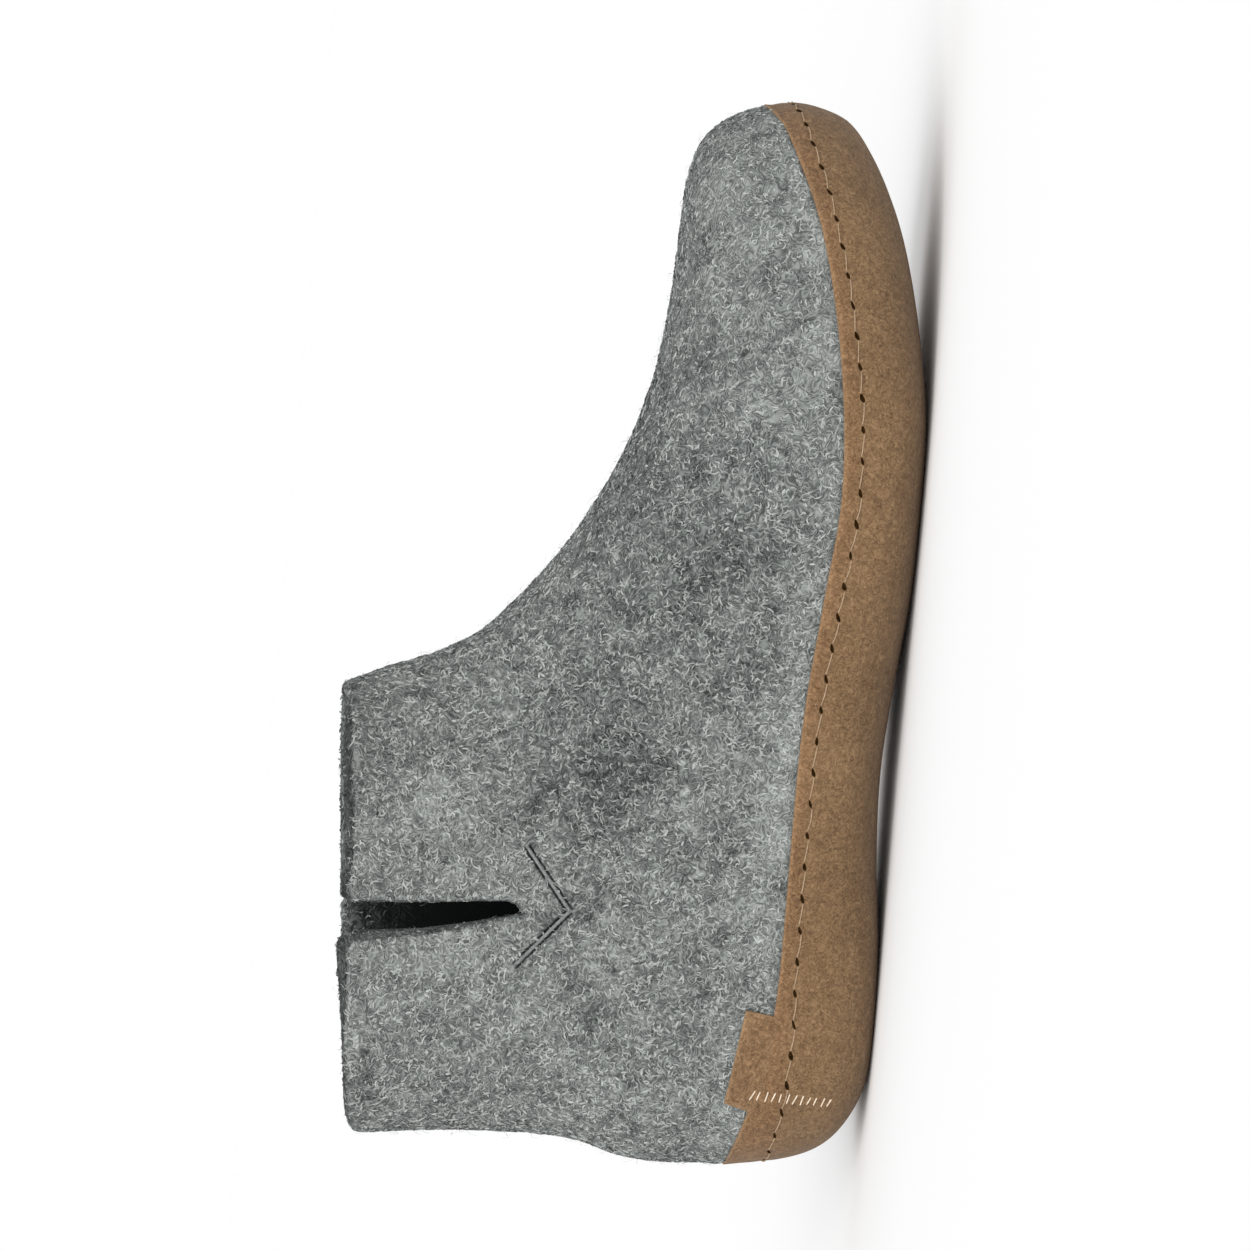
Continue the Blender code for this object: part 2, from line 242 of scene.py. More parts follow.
def on_last(t, column):
    """Points and outward normals of the last at section positions t and at columns of its rings."""
    t, column = np.broadcast_arrays(np.asarray(t, float), np.asarray(column, float))
    place = np.clip(t * LAST_STEPS, 0.0, JUST_BEFORE_END)
    low_row = place.astype(int)
    low_column = np.floor(column).astype(int)
    row_share, column_share = (place - low_row)[..., None], (column - low_column)[..., None]
    low_column %= LAST_COLUMNS
    high_column = (low_column + 1) % LAST_COLUMNS

    def read(grid):
        low, high = (
            grid[row, low_column] * (1 - column_share) + grid[row, high_column] * column_share
            for row in (low_row, low_row + 1)
        )
        return low * (1 - row_share) + high * row_share

    return read(LAST), unit(read(LAST_NORMALS))


print("last:", LAST.shape[0], "rings,", np.ptp(LAST.reshape(-1, 3), axis=0).round(1), "mm")

# %% [markdown]
# ## Sheets with a thickness
# Felt, leather, insole and tab are all thick sheets: an outer face, an inner face and a cut edge that
# joins them. Blender's Solidify modifier would do, but a cut felt edge is softly rounded and the slit's
# rear edge is cut on a slant, so one helper builds the wall from two matching grids and rolls the edge.

# %% Faces, normals and the edge of a grid
def grid_faces(ids):
    """Faces between neighbouring rows and columns of an array of vertex numbers."""
    corners = np.stack([ids[:-1, :-1], ids[1:, :-1], ids[1:, 1:], ids[:-1, 1:]], axis=-1).reshape(-1, 4)
    faces = []
    for corner in corners.tolist():
        kept = [v for k, v in enumerate(corner) if v != corner[k - 1]]
        if len(set(kept)) >= 3:
            faces.append(tuple(kept))
    return faces


def welded(ids, points):
    """Vertex numbers without gaps, and the point of each."""
    _, first, packed = np.unique(ids, return_index=True, return_inverse=True)
    return packed.reshape(ids.shape), points.reshape(-1, 3)[first]


def sheet_normals(points, faces):
    normals = np.zeros_like(points)
    for size in (3, 4):
        some = np.array([face for face in faces if len(face) == size])
        if len(some):
            corner = points[some]
            facing = np.cross(corner[:, 2] - corner[:, 0], corner[:, -1] - corner[:, 1])
            for k in range(size):
                np.add.at(normals, some[:, k], facing)
    return unit(normals)


def boundary_loop(faces):
    """The vertices of the sheet's one edge in order, with the sheet on their left."""
    sides = {(a, b) for face in faces for a, b in zip(face, face[1:] + face[:1])}
    following = {a: b for a, b in sides if (b, a) not in sides}
    loop = [min(following)]
    while len(loop) < len(following):
        loop.append(following[loop[-1]])
    return np.array(loop)


# %% Close a sheet into a wall
def thick_sheet(outer, inner, faces, crest, steps):
    """A closed wall between two sheets. crest, a number or one a point, says how far its edge swells."""
    loop = boundary_loop(faces)
    crest = np.broadcast_to(crest, len(outer))[loop]
    normals = unit(outer - inner)
    tangent = np.roll(outer[loop], -1, axis=0) - np.roll(outer[loop], 1, axis=0)
    away = unit(np.cross(tangent, normals[loop]))
    points, count = [outer, inner], len(outer)
    rows, start = [loop], 2 * count
    for share in (np.arange(steps) + 1) / (steps + 1):
        swell = crest * (1 - abs(2 * share - 1) ** 3)
        points.append(outer[loop] * (1 - share) + inner[loop] * share + away * swell[:, None])
        rows.append(np.arange(start, start + len(loop)))
        start += len(loop)
    rows.append(loop + count)
    walls = faces + [tuple(v + count for v in face[::-1]) for face in faces]
    for lower, upper in zip(rows, rows[1:]):
        ends = np.roll(lower, -1), np.roll(upper, -1)
        walls += list(map(tuple, np.stack([ends[0], lower, upper, ends[1]], axis=-1).tolist()))
    return np.vstack(points), walls, loop


# %% Make meshes and pieces
def new_mesh(name, points, faces, **attributes):
    """A smooth mesh in metres with float attributes on its points."""
    mesh = bpy.data.meshes.new(name)
    mesh.from_pydata((np.asarray(points) * MM).tolist(), [], faces)
    mesh.update()
    mesh.shade_smooth()
    for title, values in attributes.items():
        data = mesh.attributes.new(title, "FLOAT", "POINT").data
        data.foreach_set("value", np.asarray(values, np.float32))
    return mesh


def tell_triangles(name, mesh):
    print(f"{name}: {sum(len(face.vertices) - 2 for face in mesh.polygons)} triangles")


def new_piece(name, mesh, material, *nodes):
    """A piece on the boot's one body. It stands for the CAD nodes that are named."""
    piece = bpy.data.objects.new(name, mesh)
    SCENE.collection.objects.link(piece)
    mesh.materials.clear()
    mesh.materials.append(material)
    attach(piece, "root")
    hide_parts(*nodes)
    tell_triangles(name, mesh)
    return piece


# %% [markdown]
# ## Materials
# Each finish is a small node tree on Object coordinates, so a pattern stays on the boot from any side.
# Wool felt is matt and heathered: light and dark fibres lie curled over each other. A wave that runs
# along the contours of a noise makes such curls, and noise of two sizes makes the heather. A photograph
# of felt would show its repeats, so all of it is worked out in the nodes. The curls and the finer noise
# drive the bump as well.

# %% Helpers for node trees
SHEEN_ROUGHNESS = 0.6


def put(tree, kind, inputs=None, **settings):
    """A new node. Each input takes a value or another node's output."""
    node = tree.nodes.new(kind)
    for title, value in settings.items():
        setattr(node, title, value)
    for title, value in (inputs or {}).items():
        if isinstance(value, bpy.types.NodeSocket):
            tree.links.new(value, node.inputs[title])
        else:
            node.inputs[title].default_value = value
    return node


def calc(tree, operation, *values):
    return put(tree, "ShaderNodeMath", dict(enumerate(values)), operation=operation).outputs[0]


def weighed(tree, *pairs, start=0.0):
    """A start value plus other values, each times its weight."""
    total = start
    for value, weight in pairs:
        total = calc(tree, "MULTIPLY_ADD", value, weight, total)
    return total


def new_material(name, roughness, specular, sheen=0.0):
    material = bpy.data.materials.new(name)
    material.use_nodes = True
    shader = material.node_tree.nodes["Principled BSDF"]
    shader.inputs["Roughness"].default_value = roughness
    shader.inputs["Specular IOR Level"].default_value = specular
    shader.inputs["Sheen Weight"].default_value = sheen
    shader.inputs["Sheen Roughness"].default_value = SHEEN_ROUGHNESS
    return material, material.node_tree, shader


# %% Helpers for patterns
def on_piece(tree):
    """The place on a piece, in its own coordinates."""
    return put(tree, "ShaderNodeTexCoord").outputs["Object"]


def point_value(tree, name):
    """A number that the mesh carries on its points."""
    return put(tree, "ShaderNodeAttribute", attribute_name=name).outputs["Fac"]


def blotches(tree, place, scale, detail=3.0, roughness=0.6, warp=0.0):
    """A noise value of about 0 to 1."""
    inputs = {
        "Vector": place, "Scale": scale, "Detail": detail, "Roughness": roughness, "Distortion": warp,
    }
    return put(tree, "ShaderNodeTexNoise", inputs).outputs["Fac"]


def swirls(tree, place, scale, turns, warp):
    """Dense curved lines, like combed fibres: a wave that runs along the contours of a noise."""
    value = blotches(tree, place, scale, detail=1.0, roughness=0.5, warp=warp)
    wave = calc(tree, "SINE", calc(tree, "MULTIPLY", value, 2 * math.pi * turns))
    return calc(tree, "MULTIPLY_ADD", wave, 0.5, 0.5)


def remap(tree, value, low, high, to_low=0.0, to_high=1.0):
    inputs = {"Value": value, "From Min": low, "From Max": high, "To Min": to_low, "To Max": to_high}
    return put(tree, "ShaderNodeMapRange", inputs, interpolation_type="SMOOTHSTEP").outputs["Result"]


def contour(tree, value, level, width):
    """1 where a value passes a level, falling to 0 on both sides of it."""
    gap = calc(tree, "ABSOLUTE", calc(tree, "SUBTRACT", value, level))
    return remap(tree, gap, 0.0, width, 1.0, 0.0)


def tones(tree, value, stops):
    """A colour ramp. Each stop is a position and a linear colour."""
    node = put(tree, "ShaderNodeValToRGB", {"Fac": value})
    elements = node.color_ramp.elements
    while len(elements) < len(stops):
        elements.new(0.5)
    for element, (position, colour) in zip(elements, stops):
        element.position, element.color = position, (*colour, 1.0)
    return node.outputs["Color"]


def add_bump(tree, shader, height, distance_mm, strength):
    inputs = {"Height": height, "Distance": distance_mm * MM, "Strength": strength}
    bump = put(tree, "ShaderNodeBump", inputs)
    tree.links.new(bump.outputs["Normal"], shader.inputs["Normal"])


# %% Shadow beside the stitched chevron
CHEVRON_TIP = (-75.7, 83.6)
CHEVRON_ENDS = ((-59.7, 96.2), (-91.2, 96.8))
ARM_FADE = 0.6
SHADOW_FROM_MIDDLE, SHADOW_WIDTH = 0.75, 0.5
GROOVE_BOTTOM, GROOVE_EDGE = 0.4, 1.9


def seam_lines(tree, place):
    """Painted shadow lines along both arms of the stitched chevron, and the groove between them."""
    tip = (CHEVRON_TIP[0] * MM, 0.0, CHEVRON_TIP[1] * MM)
    away = put(tree, "ShaderNodeVectorMath", {0: place, 1: tip}, operation="SUBTRACT").outputs["Vector"]
    x, _, z = put(tree, "ShaderNodeSeparateXYZ", {0: away}).outputs
    dark, groove = [], []
    for end_x, end_z in CHEVRON_ENDS:
        run, climb = end_x - CHEVRON_TIP[0], end_z - CHEVRON_TIP[1]
        length = math.hypot(run, climb)
        half = 0.5 * length
        lengthwise = weighed(tree, (x, run / length), (z, climb / length))
        sideways = weighed(tree, (z, run / length), (x, -climb / length))
        middle = calc(tree, "ABSOLUTE", calc(tree, "SUBTRACT", lengthwise, half * MM))
        on_arm = remap(tree, middle, (half - ARM_FADE) * MM, (half + ARM_FADE) * MM, 1.0, 0.0)
        distance = calc(tree, "ABSOLUTE", sideways)
        shadow = contour(tree, distance, SHADOW_FROM_MIDDLE * MM, SHADOW_WIDTH * MM)
        hollow = remap(tree, distance, GROOVE_BOTTOM * MM, GROOVE_EDGE * MM, 1.0, 0.0)
        dark.append(calc(tree, "MULTIPLY", shadow, on_arm))
        groove.append(calc(tree, "MULTIPLY", hollow, on_arm))
    return calc(tree, "MAXIMUM", *dark), calc(tree, "MAXIMUM", *groove)


# %% Wool felt
HEATHER_SCALE, PATCH_SCALE, LOCK_SCALE = 60.0, 240.0, 300.0
COARSE_SCALE, FINE_SCALE, FELT_TURNS = 210.0, 340.0, 9.0
LOCK_LOW, LOCK_HIGH = 0.42, 0.58
FELT_BUMP, FELT_BUMP_STRENGTH = 0.45, 0.8


def felt_material(name, stops, with_seams):
    """Heathered felt: locks of coarse and fine fibres on lighter and darker patches."""
    material, tree, shader = new_material(name, roughness=0.96, specular=0.05, sheen=0.05)
    place = on_piece(tree)
    heather = blotches(tree, place, HEATHER_SCALE)
    patches = blotches(tree, place, PATCH_SCALE, detail=4.0, roughness=0.65, warp=0.6)
    locks = remap(tree, blotches(tree, place, LOCK_SCALE, detail=1.0, warp=0.5), LOCK_LOW, LOCK_HIGH)
    coarse = swirls(tree, place, COARSE_SCALE, FELT_TURNS, 0.7)
    fine = swirls(tree, place, FINE_SCALE, FELT_TURNS, 0.5)
    between = calc(tree, "MULTIPLY", fine, calc(tree, "SUBTRACT", 1.0, locks))
    fibres = calc(tree, "ADD", calc(tree, "MULTIPLY", coarse, locks), between)
    tone = weighed(tree, (heather, 0.30), (patches, 0.50), (fibres, 0.22))
    # The tone on the mesh adds the painted light and shade to the felt's colour.
    tone = calc(tree, "ADD", tone, point_value(tree, "tone"))
    height = weighed(tree, (fibres, 0.40), (patches, 1.1))
    if with_seams:
        dark, groove = seam_lines(tree, place)
        # Painted shadow beside the chevron's threads, and a little painted shade in its groove.
        tone = weighed(tree, (groove, -0.05), (dark, -0.40), start=tone)
        height = weighed(tree, (groove, -1.6), start=height)
    tree.links.new(tones(tree, tone, stops), shader.inputs["Base Color"])
    add_bump(tree, shader, height, FELT_BUMP, FELT_BUMP_STRENGTH)
    return material


FELT = felt_material("wool_felt", (
    (0.06, (0.004, 0.005, 0.005)), (0.30, (0.028, 0.032, 0.031)), (0.48, (0.098, 0.106, 0.102)),
    (0.60, (0.180, 0.192, 0.185)), (0.78, (0.320, 0.337, 0.322)),
), with_seams=True)
INSOLE_FELT = felt_material("insole_felt", (
    (0.25, (0.05, 0.056, 0.056)), (0.45, (0.11, 0.12, 0.118)), (0.7, (0.22, 0.235, 0.23)),
), with_seams=False)
print("felts:", FELT.name, INSOLE_FELT.name)

# %% [markdown]
# Napped leather has been brushed until short fibres stand up, so it is matt and cloudy. It is paler
# where it is cut, and warmer in the strip above the seam. Vertex colours would be too coarse for a nap,
# so noise at three sizes makes the cloud, the smudges and the nap, and two numbers on the mesh, cut
# and band, say where the raw edge and the strip are.

# %% Napped leather
LEATHER_TONES = (
    (0.38, (0.077, 0.043, 0.020)), (0.59, (0.163, 0.097, 0.048)), (0.80, (0.278, 0.176, 0.092)),
)
BAND_SHIFT = np.array((1.06, 1.0, 0.98))
CLOUD_SCALE, SMUDGE_SCALE, NAP_SCALE = 45.0, 300.0, 1000.0
BRUSHED_SCALE, BRUSHED_TURNS = 260.0, 7.0
LEATHER_BUMP, LEATHER_BUMP_STRENGTH = 0.28, 0.75


def leather_material(name, warm):
    material, tree, shader = new_material(name, roughness=0.85, specular=0.15, sheen=0.06)
    place = on_piece(tree)
    cloud = blotches(tree, place, CLOUD_SCALE, detail=4.0)
    smudge = blotches(tree, place, SMUDGE_SCALE, warp=0.8)
    nap = blotches(tree, place, NAP_SCALE, detail=2.0, roughness=0.7, warp=1.4)
    brushed = swirls(tree, place, BRUSHED_SCALE, BRUSHED_TURNS, 0.8)
    cut = point_value(tree, "cut")
    tone = weighed(tree, (smudge, 0.20), (cloud, 0.18), (nap, 0.70), (brushed, 0.10), (cut, 0.16))
    plain, rubbed = (
        tones(tree, tone, [(at, tuple(np.array(colour) * warm * shift)) for at, colour in LEATHER_TONES])
        for shift in (np.ones(3), BAND_SHIFT)
    )
    inputs = {"Factor": point_value(tree, "band"), 6: plain, 7: rubbed}
    mixed = put(tree, "ShaderNodeMix", inputs, data_type="RGBA").outputs[2]
    tree.links.new(mixed, shader.inputs["Base Color"])
    height = weighed(tree, (smudge, 0.7), (nap, 0.8), (brushed, 0.22))
    add_bump(tree, shader, height, LEATHER_BUMP, LEATHER_BUMP_STRENGTH)
    return material


LEATHER = leather_material("napped_leather", np.array((1.0, 1.0, 1.0)))
TAB_LEATHER = leather_material("tab_leather", np.array((1.06, 1.03, 1.04)))
print("leathers:", LEATHER.name, TAB_LEATHER.name)

# %% [markdown]
# Thread is twisted from strands. One flat colour would make it look like wire, so a fine noise sets its
# shade and its bump. A loose fibre is too thin for strands: it gets one random shade, added to the tone
# of the felt that it lies on, painted light and shade included, and to patches of heather.

# %% Threads and needle holes
STRAND_SCALE, STRAND_BUMP, STRAND_BUMP_STRENGTH = 1500.0, 0.1, 0.6
STRAND_DARK, STRAND_LIGHT = 0.3, 0.7


def thread_material(name, low, high, gloss=0.25):
    material, tree, shader = new_material(name, roughness=0.75, specular=gloss)
    strands = blotches(tree, on_piece(tree), STRAND_SCALE, detail=2.0, warp=1.0)
    colour = tones(tree, strands, ((STRAND_DARK, low), (STRAND_LIGHT, high)))
    tree.links.new(colour, shader.inputs["Base Color"])
    add_bump(tree, shader, strands, STRAND_BUMP, STRAND_BUMP_STRENGTH)
    return material


SEAM_THREAD = thread_material("seam_thread", (0.23, 0.153, 0.090), (0.43, 0.308, 0.200))
BAR_THREAD = thread_material("bar_thread", (0.52, 0.40, 0.29), (0.86, 0.74, 0.60))
GREY_THREAD = thread_material("grey_thread", (0.10, 0.108, 0.105), (0.25, 0.265, 0.258))
# Painted shadow: the needle holes are plugs of this near-black colour.
HOLE_PAINTED_SHADOW = thread_material("needle_hole", (0.008, 0.004, 0.001), (0.030, 0.015, 0.005), gloss=0.0)

# %% Loose wool
FIBRE_PATCH_SCALE = 330.0
FIBRE_TONES = (
    (0.34, (0.055, 0.061, 0.059)), (0.50, (0.136, 0.147, 0.142)), (0.64, (0.244, 0.260, 0.249)),
    (0.78, (0.340, 0.358, 0.343)), (0.94, (0.410, 0.430, 0.413)),
)


def fibre_material():
    """Each fibre has its own shade, all darken in the heather's patches, and all take the felt's painted
    light and shade.
    """
    material, tree, shader = new_material("wool_fibre", roughness=0.95, specular=0.1, sheen=0.08)
    place = on_piece(tree)
    heather = blotches(tree, place, HEATHER_SCALE)
    patches = blotches(tree, place, FIBRE_PATCH_SCALE, warp=0.6)
    own_shade, felt_tone_and_painted_light = point_value(tree, "shade"), point_value(tree, "tone")
    tone = weighed(tree, (patches, 0.70), (heather, 0.20), (own_shade, 0.38), start=felt_tone_and_painted_light)
    tree.links.new(tones(tree, tone, FIBRE_TONES), shader.inputs["Base Color"])
    return material


FIBRE = fibre_material()
print("materials:", len(bpy.data.materials))

# %% [markdown]
# ## The felt upper
# The upper is one felted wall, open at the collar and slit down both sides. Columns of its grid run
# along each slit, so a slit is a true cut: below its tip the two edges share their vertices, above it
# they part. The outer slit stands open and its rear edge is cut on a slant, the inner one hangs closed.
# A Boolean cut would be quicker to write, but it leaves ragged faces where the fibres have to stand.

# %% The edges of the slits
INNER_SLIT_WIDTH, INNER_SLIT_OPENS = 1.0, 6.0
# Each row is a height and how far the front edge is set forward there.
SLIT_EASE = ((95.0, 1.9), (100.0, 2.6), (113.0, 1.9), (126.0, 1.3), (145.0, 0.9))


def front_line(z):
    """The slit's front edge, set forward by what the felt's rounding and fibres fill again."""
    return np.interp(z, SLIT_Z, SLIT_FRONT_X) + np.interp(z, *np.array(SLIT_EASE).T)


def outer_rear_line(z):
    return np.interp(z, SLIT_Z, SLIT_REAR_X)


def inner_rear_line(z):
    return front_line(z) - INNER_SLIT_WIDTH * ramp(z, SLIT_TIP_Z, SLIT_TIP_Z + INNER_SLIT_OPENS)


def line_crossing(t, line, side):
    """The column, counted from the front line, where a ring's side passes a line, and the height there."""
    column = np.arange(HALF_COLUMNS + 1)
    points, _ = on_last(t, column if side < 0 else LAST_COLUMNS - column)
    ahead = points[:, 0] - line(points[:, 2])
    behind = int(np.argmax(ahead < 0.0))
    share = ahead[behind - 1] / (ahead[behind - 1] - ahead[behind])
    return behind - 1 + share, points[behind - 1, 2] + share * (points[behind, 2] - points[behind - 1, 2])


# %% Rings of the felt, one of them at the slit's tip
FELT_STEP = 1.75
TIP_SEARCH = np.linspace(19.0, 23.5, 181)


def ring_positions(step):
    """Section positions whose rings lie about a step apart where they fan out most."""
    lines = LAST[:, [0, HALF_COLUMNS // 2, HALF_COLUMNS]]
    gaps = np.linalg.norm(np.diff(lines, axis=0), axis=2).max(axis=1)
    travelled = np.concatenate([[0.0], np.cumsum(gaps)])
    wanted = np.linspace(0.0, travelled[-1], int(travelled[-1] / step) + 1)
    return np.interp(wanted, travelled, np.arange(len(LAST)) / LAST_STEPS)


T = ring_positions(FELT_STEP)
tip_heights = [line_crossing(t, middle_line, -1)[1] for t in TIP_SEARCH]
TIP_T = float(np.interp(SLIT_TIP_Z, tip_heights, TIP_SEARCH))
TIP_RING = int(np.argmin(abs(T - TIP_T)))
T[TIP_RING] = TIP_T
TIP_COLUMN = line_crossing(TIP_T, middle_line, -1)[0]
print("felt rings:", len(T), "slit tip at ring", TIP_RING)

# %% Lay out the grid on both sides of the slits
FRONT_COLUMNS, REAR_COLUMNS = 44, 42
SLIT_EDGES = ((front_line, -1), (outer_rear_line, -1), (inner_rear_line, 1), (front_line, 1))

front, rear = np.linspace(0.0, 1.0, FRONT_COLUMNS + 1), np.linspace(0.0, 1.0, REAR_COLUMNS + 1)
columns = []
for ring, t in enumerate(T):
    edges = [TIP_COLUMN] * len(SLIT_EDGES)
    if ring > TIP_RING:
        edges = [line_crossing(t, line, side)[0] for line, side in SLIT_EDGES]
    columns.append(np.concatenate([
        edges[0] * front,
        edges[1] + (HALF_COLUMNS - edges[1]) * rear,
        LAST_COLUMNS - (HALF_COLUMNS + (edges[2] - HALF_COLUMNS) * rear),
        LAST_COLUMNS - edges[3] * (1.0 - front),
    ]))
FELT_GRID, _ = on_last(T[:, None], np.array(columns))
strip_ends = np.cumsum([FRONT_COLUMNS + 1, REAR_COLUMNS + 1, REAR_COLUMNS + 1])
STRIPS = np.split(np.arange(FELT_GRID.shape[1]), strip_ends)
OUTER_FRONT, OUTER_REAR, INNER_REAR, INNER_FRONT = STRIPS
print("felt grid:", FELT_GRID.shape[:2])

# %% Round the corners of the four flaps
FLAP_ROUND = 2.4


def near(distance, reach):
    """1 at no distance, with a straight fall to 0 at the reach."""
    return np.clip(1.0 - distance / reach, 0.0, 1.0)


def travelled_from_end(points, axis):
    """Distance of each point from the end of its row or column."""
    gaps = np.flip(np.linalg.norm(np.diff(points, axis=axis), axis=2), axis=axis)
    return np.flip(np.insert(np.cumsum(gaps, axis=axis), 0, 0.0, axis=axis), axis=axis)


def round_flap(strip, slit_at_end):
    order = strip if slit_at_end else strip[::-1]
    flap = FELT_GRID[TIP_RING + 1:][:, order]
    to_slit = near(travelled_from_end(flap, 1), FLAP_ROUND)
    to_rim = near(travelled_from_end(flap, 0), FLAP_ROUND)
    slit_way, rim_way = unit(np.gradient(flap, axis=1)), unit(np.gradient(flap, axis=0))
    slit_move = to_slit * (np.sqrt(1.0 - to_rim**2 / 2) - 1.0) * FLAP_ROUND
    rim_move = to_rim * (np.sqrt(1.0 - to_slit**2 / 2) - 1.0) * FLAP_ROUND
    moved = flap + slit_way * slit_move[..., None] + rim_way * rim_move[..., None]
    FELT_GRID[TIP_RING + 1:, order] = moved


for strip, slit_at_end in zip(STRIPS, (True, False, True, False)):
    round_flap(strip, slit_at_end)

# %% Join the strips into one sheet
ids = np.arange(FELT_GRID.shape[0] * FELT_GRID.shape[1]).reshape(FELT_GRID.shape[:2])
ids[:, INNER_REAR[0]] = ids[:, OUTER_REAR[-1]]
ids[:, INNER_FRONT[-1]] = ids[:, OUTER_FRONT[0]]
below_tip = slice(0, TIP_RING + 1)
ids[below_tip, OUTER_REAR[0]] = ids[below_tip, OUTER_FRONT[-1]]
ids[below_tip, INNER_FRONT[0]] = ids[below_tip, INNER_REAR[-1]]
ids[0] = ids[0, 0]
FELT_IDS, felt_points = welded(ids, FELT_GRID)
felt_faces = [face for strip in STRIPS for face in grid_faces(FELT_IDS[:, strip])]
felt_facing = sheet_normals(felt_points, felt_faces)
print("felt sheet:", len(felt_points), "points,", len(felt_faces), "faces")

# %% [markdown]
# Worn and stored felt is never smooth. Its main folds gather in front of the ankle, where the shaft
# bends. Cloth simulation would put them anywhere, so they are listed as soft troughs and ridges drawn
# from beside the boot. Slow noise adds the uneven thickness of felting. Under the leather the felt is
# pressed flat, and it swells a little where it comes out over the leather's edge.

# %% The leather's edge, seen from beside the boot
LEATHER_EDGE = (
    (150.0, 57.0), (139.8, 46.2), (130.0, 40.8), (108.0, 32.4), (74.0, 25.4), (40.0, 22.4),
    (10.0, 24.6), (-25.0, 27.0), (-90.0, 27.1), (-116.0, 29.9), (-134.0, 33.9), (-150.0, 37.3),
)
EDGE_SAMPLES = 400
EDGE_LINE = smooth_rows(LEATHER_EDGE, np.linspace(0, len(LEATHER_EDGE) - 1, EDGE_SAMPLES))[::-1]


def edge_height(x):
    """Height of the leather's top edge at x."""
    return np.interp(x, EDGE_LINE[:, 0], EDGE_LINE[:, 1])


print("leather edge:", EDGE_LINE[:, 1].min().round(1), "mm above the floor at its lowest")

# %% Folds and uneven felt
FOLD_COLUMNS = ("start_x", "start_z", "end_x", "end_z", "height", "width")
FOLDS = (
    (-56.0, 103.5, -49.5, 94.0, -0.9, 2.6),
    (-49.5, 94.0, -43.0, 87.0, -0.8, 2.8),
    (-46.0, 76.0, -33.0, 62.0, -1.1, 6.5),
    (-66.0, 84.0, -58.0, 70.0, 0.9, 6.0),
    (-30.0, 96.0, -14.0, 84.0, -0.8, 6.0),
    (-92.0, 80.0, -108.0, 74.0, -0.7, 6.0),
    (-112.0, 92.0, -128.0, 90.0, -0.7, 6.0),
    (-100.0, 62.0, -84.0, 56.0, 0.6, 8.0),
    (-133.0, 132.4, -117.0, 133.2, -1.3, 1.6),
)
# Each row is the noise's scale for a millimetre and how high it stands.
UNEVEN = ((0.045, 0.45), (0.12, 0.24), (0.28, 0.12))


def side_distance(points, start, end):
    """Distance from the straight line between two spots, seen from beside the boot."""
    start, along = np.array(start), np.array(end) - np.array(start)
    offset = points[:, [0, 2]] - start
    share = np.clip(offset @ along / (along @ along), 0.0, 1.0)
    return np.linalg.norm(offset - share[:, None] * along, axis=1)


def fold_heights(points):
    total = np.zeros(len(points))
    for fold in FOLDS:
        row = dict(zip(FOLD_COLUMNS, fold))
        start, end = (row["start_x"], row["start_z"]), (row["end_x"], row["end_z"])
        total += row["height"] * fades(side_distance(points, start, end), row["width"])
    return total


def uneven_heights(points):
    return np.array([
        sum(height * noise.noise(Vector(point) * pitch) for pitch, height in UNEVEN)
        for point in points.tolist()
    ])


# %% The felt's outer face
FIBRE_ROOM, PRESSED_REACH = 0.35, 6.0
SWELL_TOE, SWELL_HEEL, SWELL_SIDES, SWELL_REACH = 1.5, 0.9, 0.5, 7.0
SWELL_ENDS_FROM, SWELL_ENDS_TO, SWELL_LOWEST = 95.0, 130.0, 0.4


def swell_heights(points, above):
    """The felt stands out over the leather's edge, most at the toe and the heel."""
    at_ends = ramp(np.abs(points[:, 0]), SWELL_ENDS_FROM, SWELL_ENDS_TO) ** 2
    swell = SWELL_SIDES + (np.where(points[:, 0] > 0.0, SWELL_TOE, SWELL_HEEL) - SWELL_SIDES) * at_ends
    return np.where(above > SWELL_LOWEST, swell * fades(above, SWELL_REACH), 0.0)


above_edge = felt_points[:, 2] - edge_height(felt_points[:, 0])
bare = ramp(above_edge, 0.0, PRESSED_REACH)
felt_relief = (fold_heights(felt_points) + uneven_heights(felt_points) - FIBRE_ROOM) * bare
felt_relief += swell_heights(felt_points, above_edge)
felt_outer = felt_points + felt_facing * felt_relief[:, None]
print("felt relief:", felt_relief.min().round(2), "to", felt_relief.max().round(2), "mm")

# %% [markdown]
# The felt is more than 5 mm thick, and its cut edges show that. The inner face follows the outer one at
# the wall's thickness. Along the outer slit's rear edge it is pulled forward, because that edge is cut
# on a slant. At the collar's outer side and back a short table lets both faces dip and rise like felt
# cut by hand. A Bevel modifier could round the rim, but neither slant it nor dip it.

# %% The inner face, slanted at the slit
FELT_WALL, INNER_RELIEF = 5.5, 0.4
SLANT, SLANT_REACH, SLANT_CURVE = 2.9, 10.0, 0.7

felt_inner = felt_points - felt_facing * (FELT_WALL - INNER_RELIEF * felt_relief[:, None])
rear_flap = FELT_IDS[TIP_RING + 1:, OUTER_REAR]
flap_points = felt_inner[rear_flap]
from_slit = np.flip(travelled_from_end(np.flip(flap_points, axis=1), 1), axis=1)
opened = ramp(flap_points[..., 2], SLIT_TIP_Z, SLIT_MOUTH_Z) ** SLANT_CURVE
forward = -unit(np.gradient(flap_points, axis=1))
felt_inner[rear_flap] += forward * (SLANT * opened * fades(from_slit, SLANT_REACH))[..., None]
print("slit slanted by up to", (SLANT * opened).max().round(1), "mm")

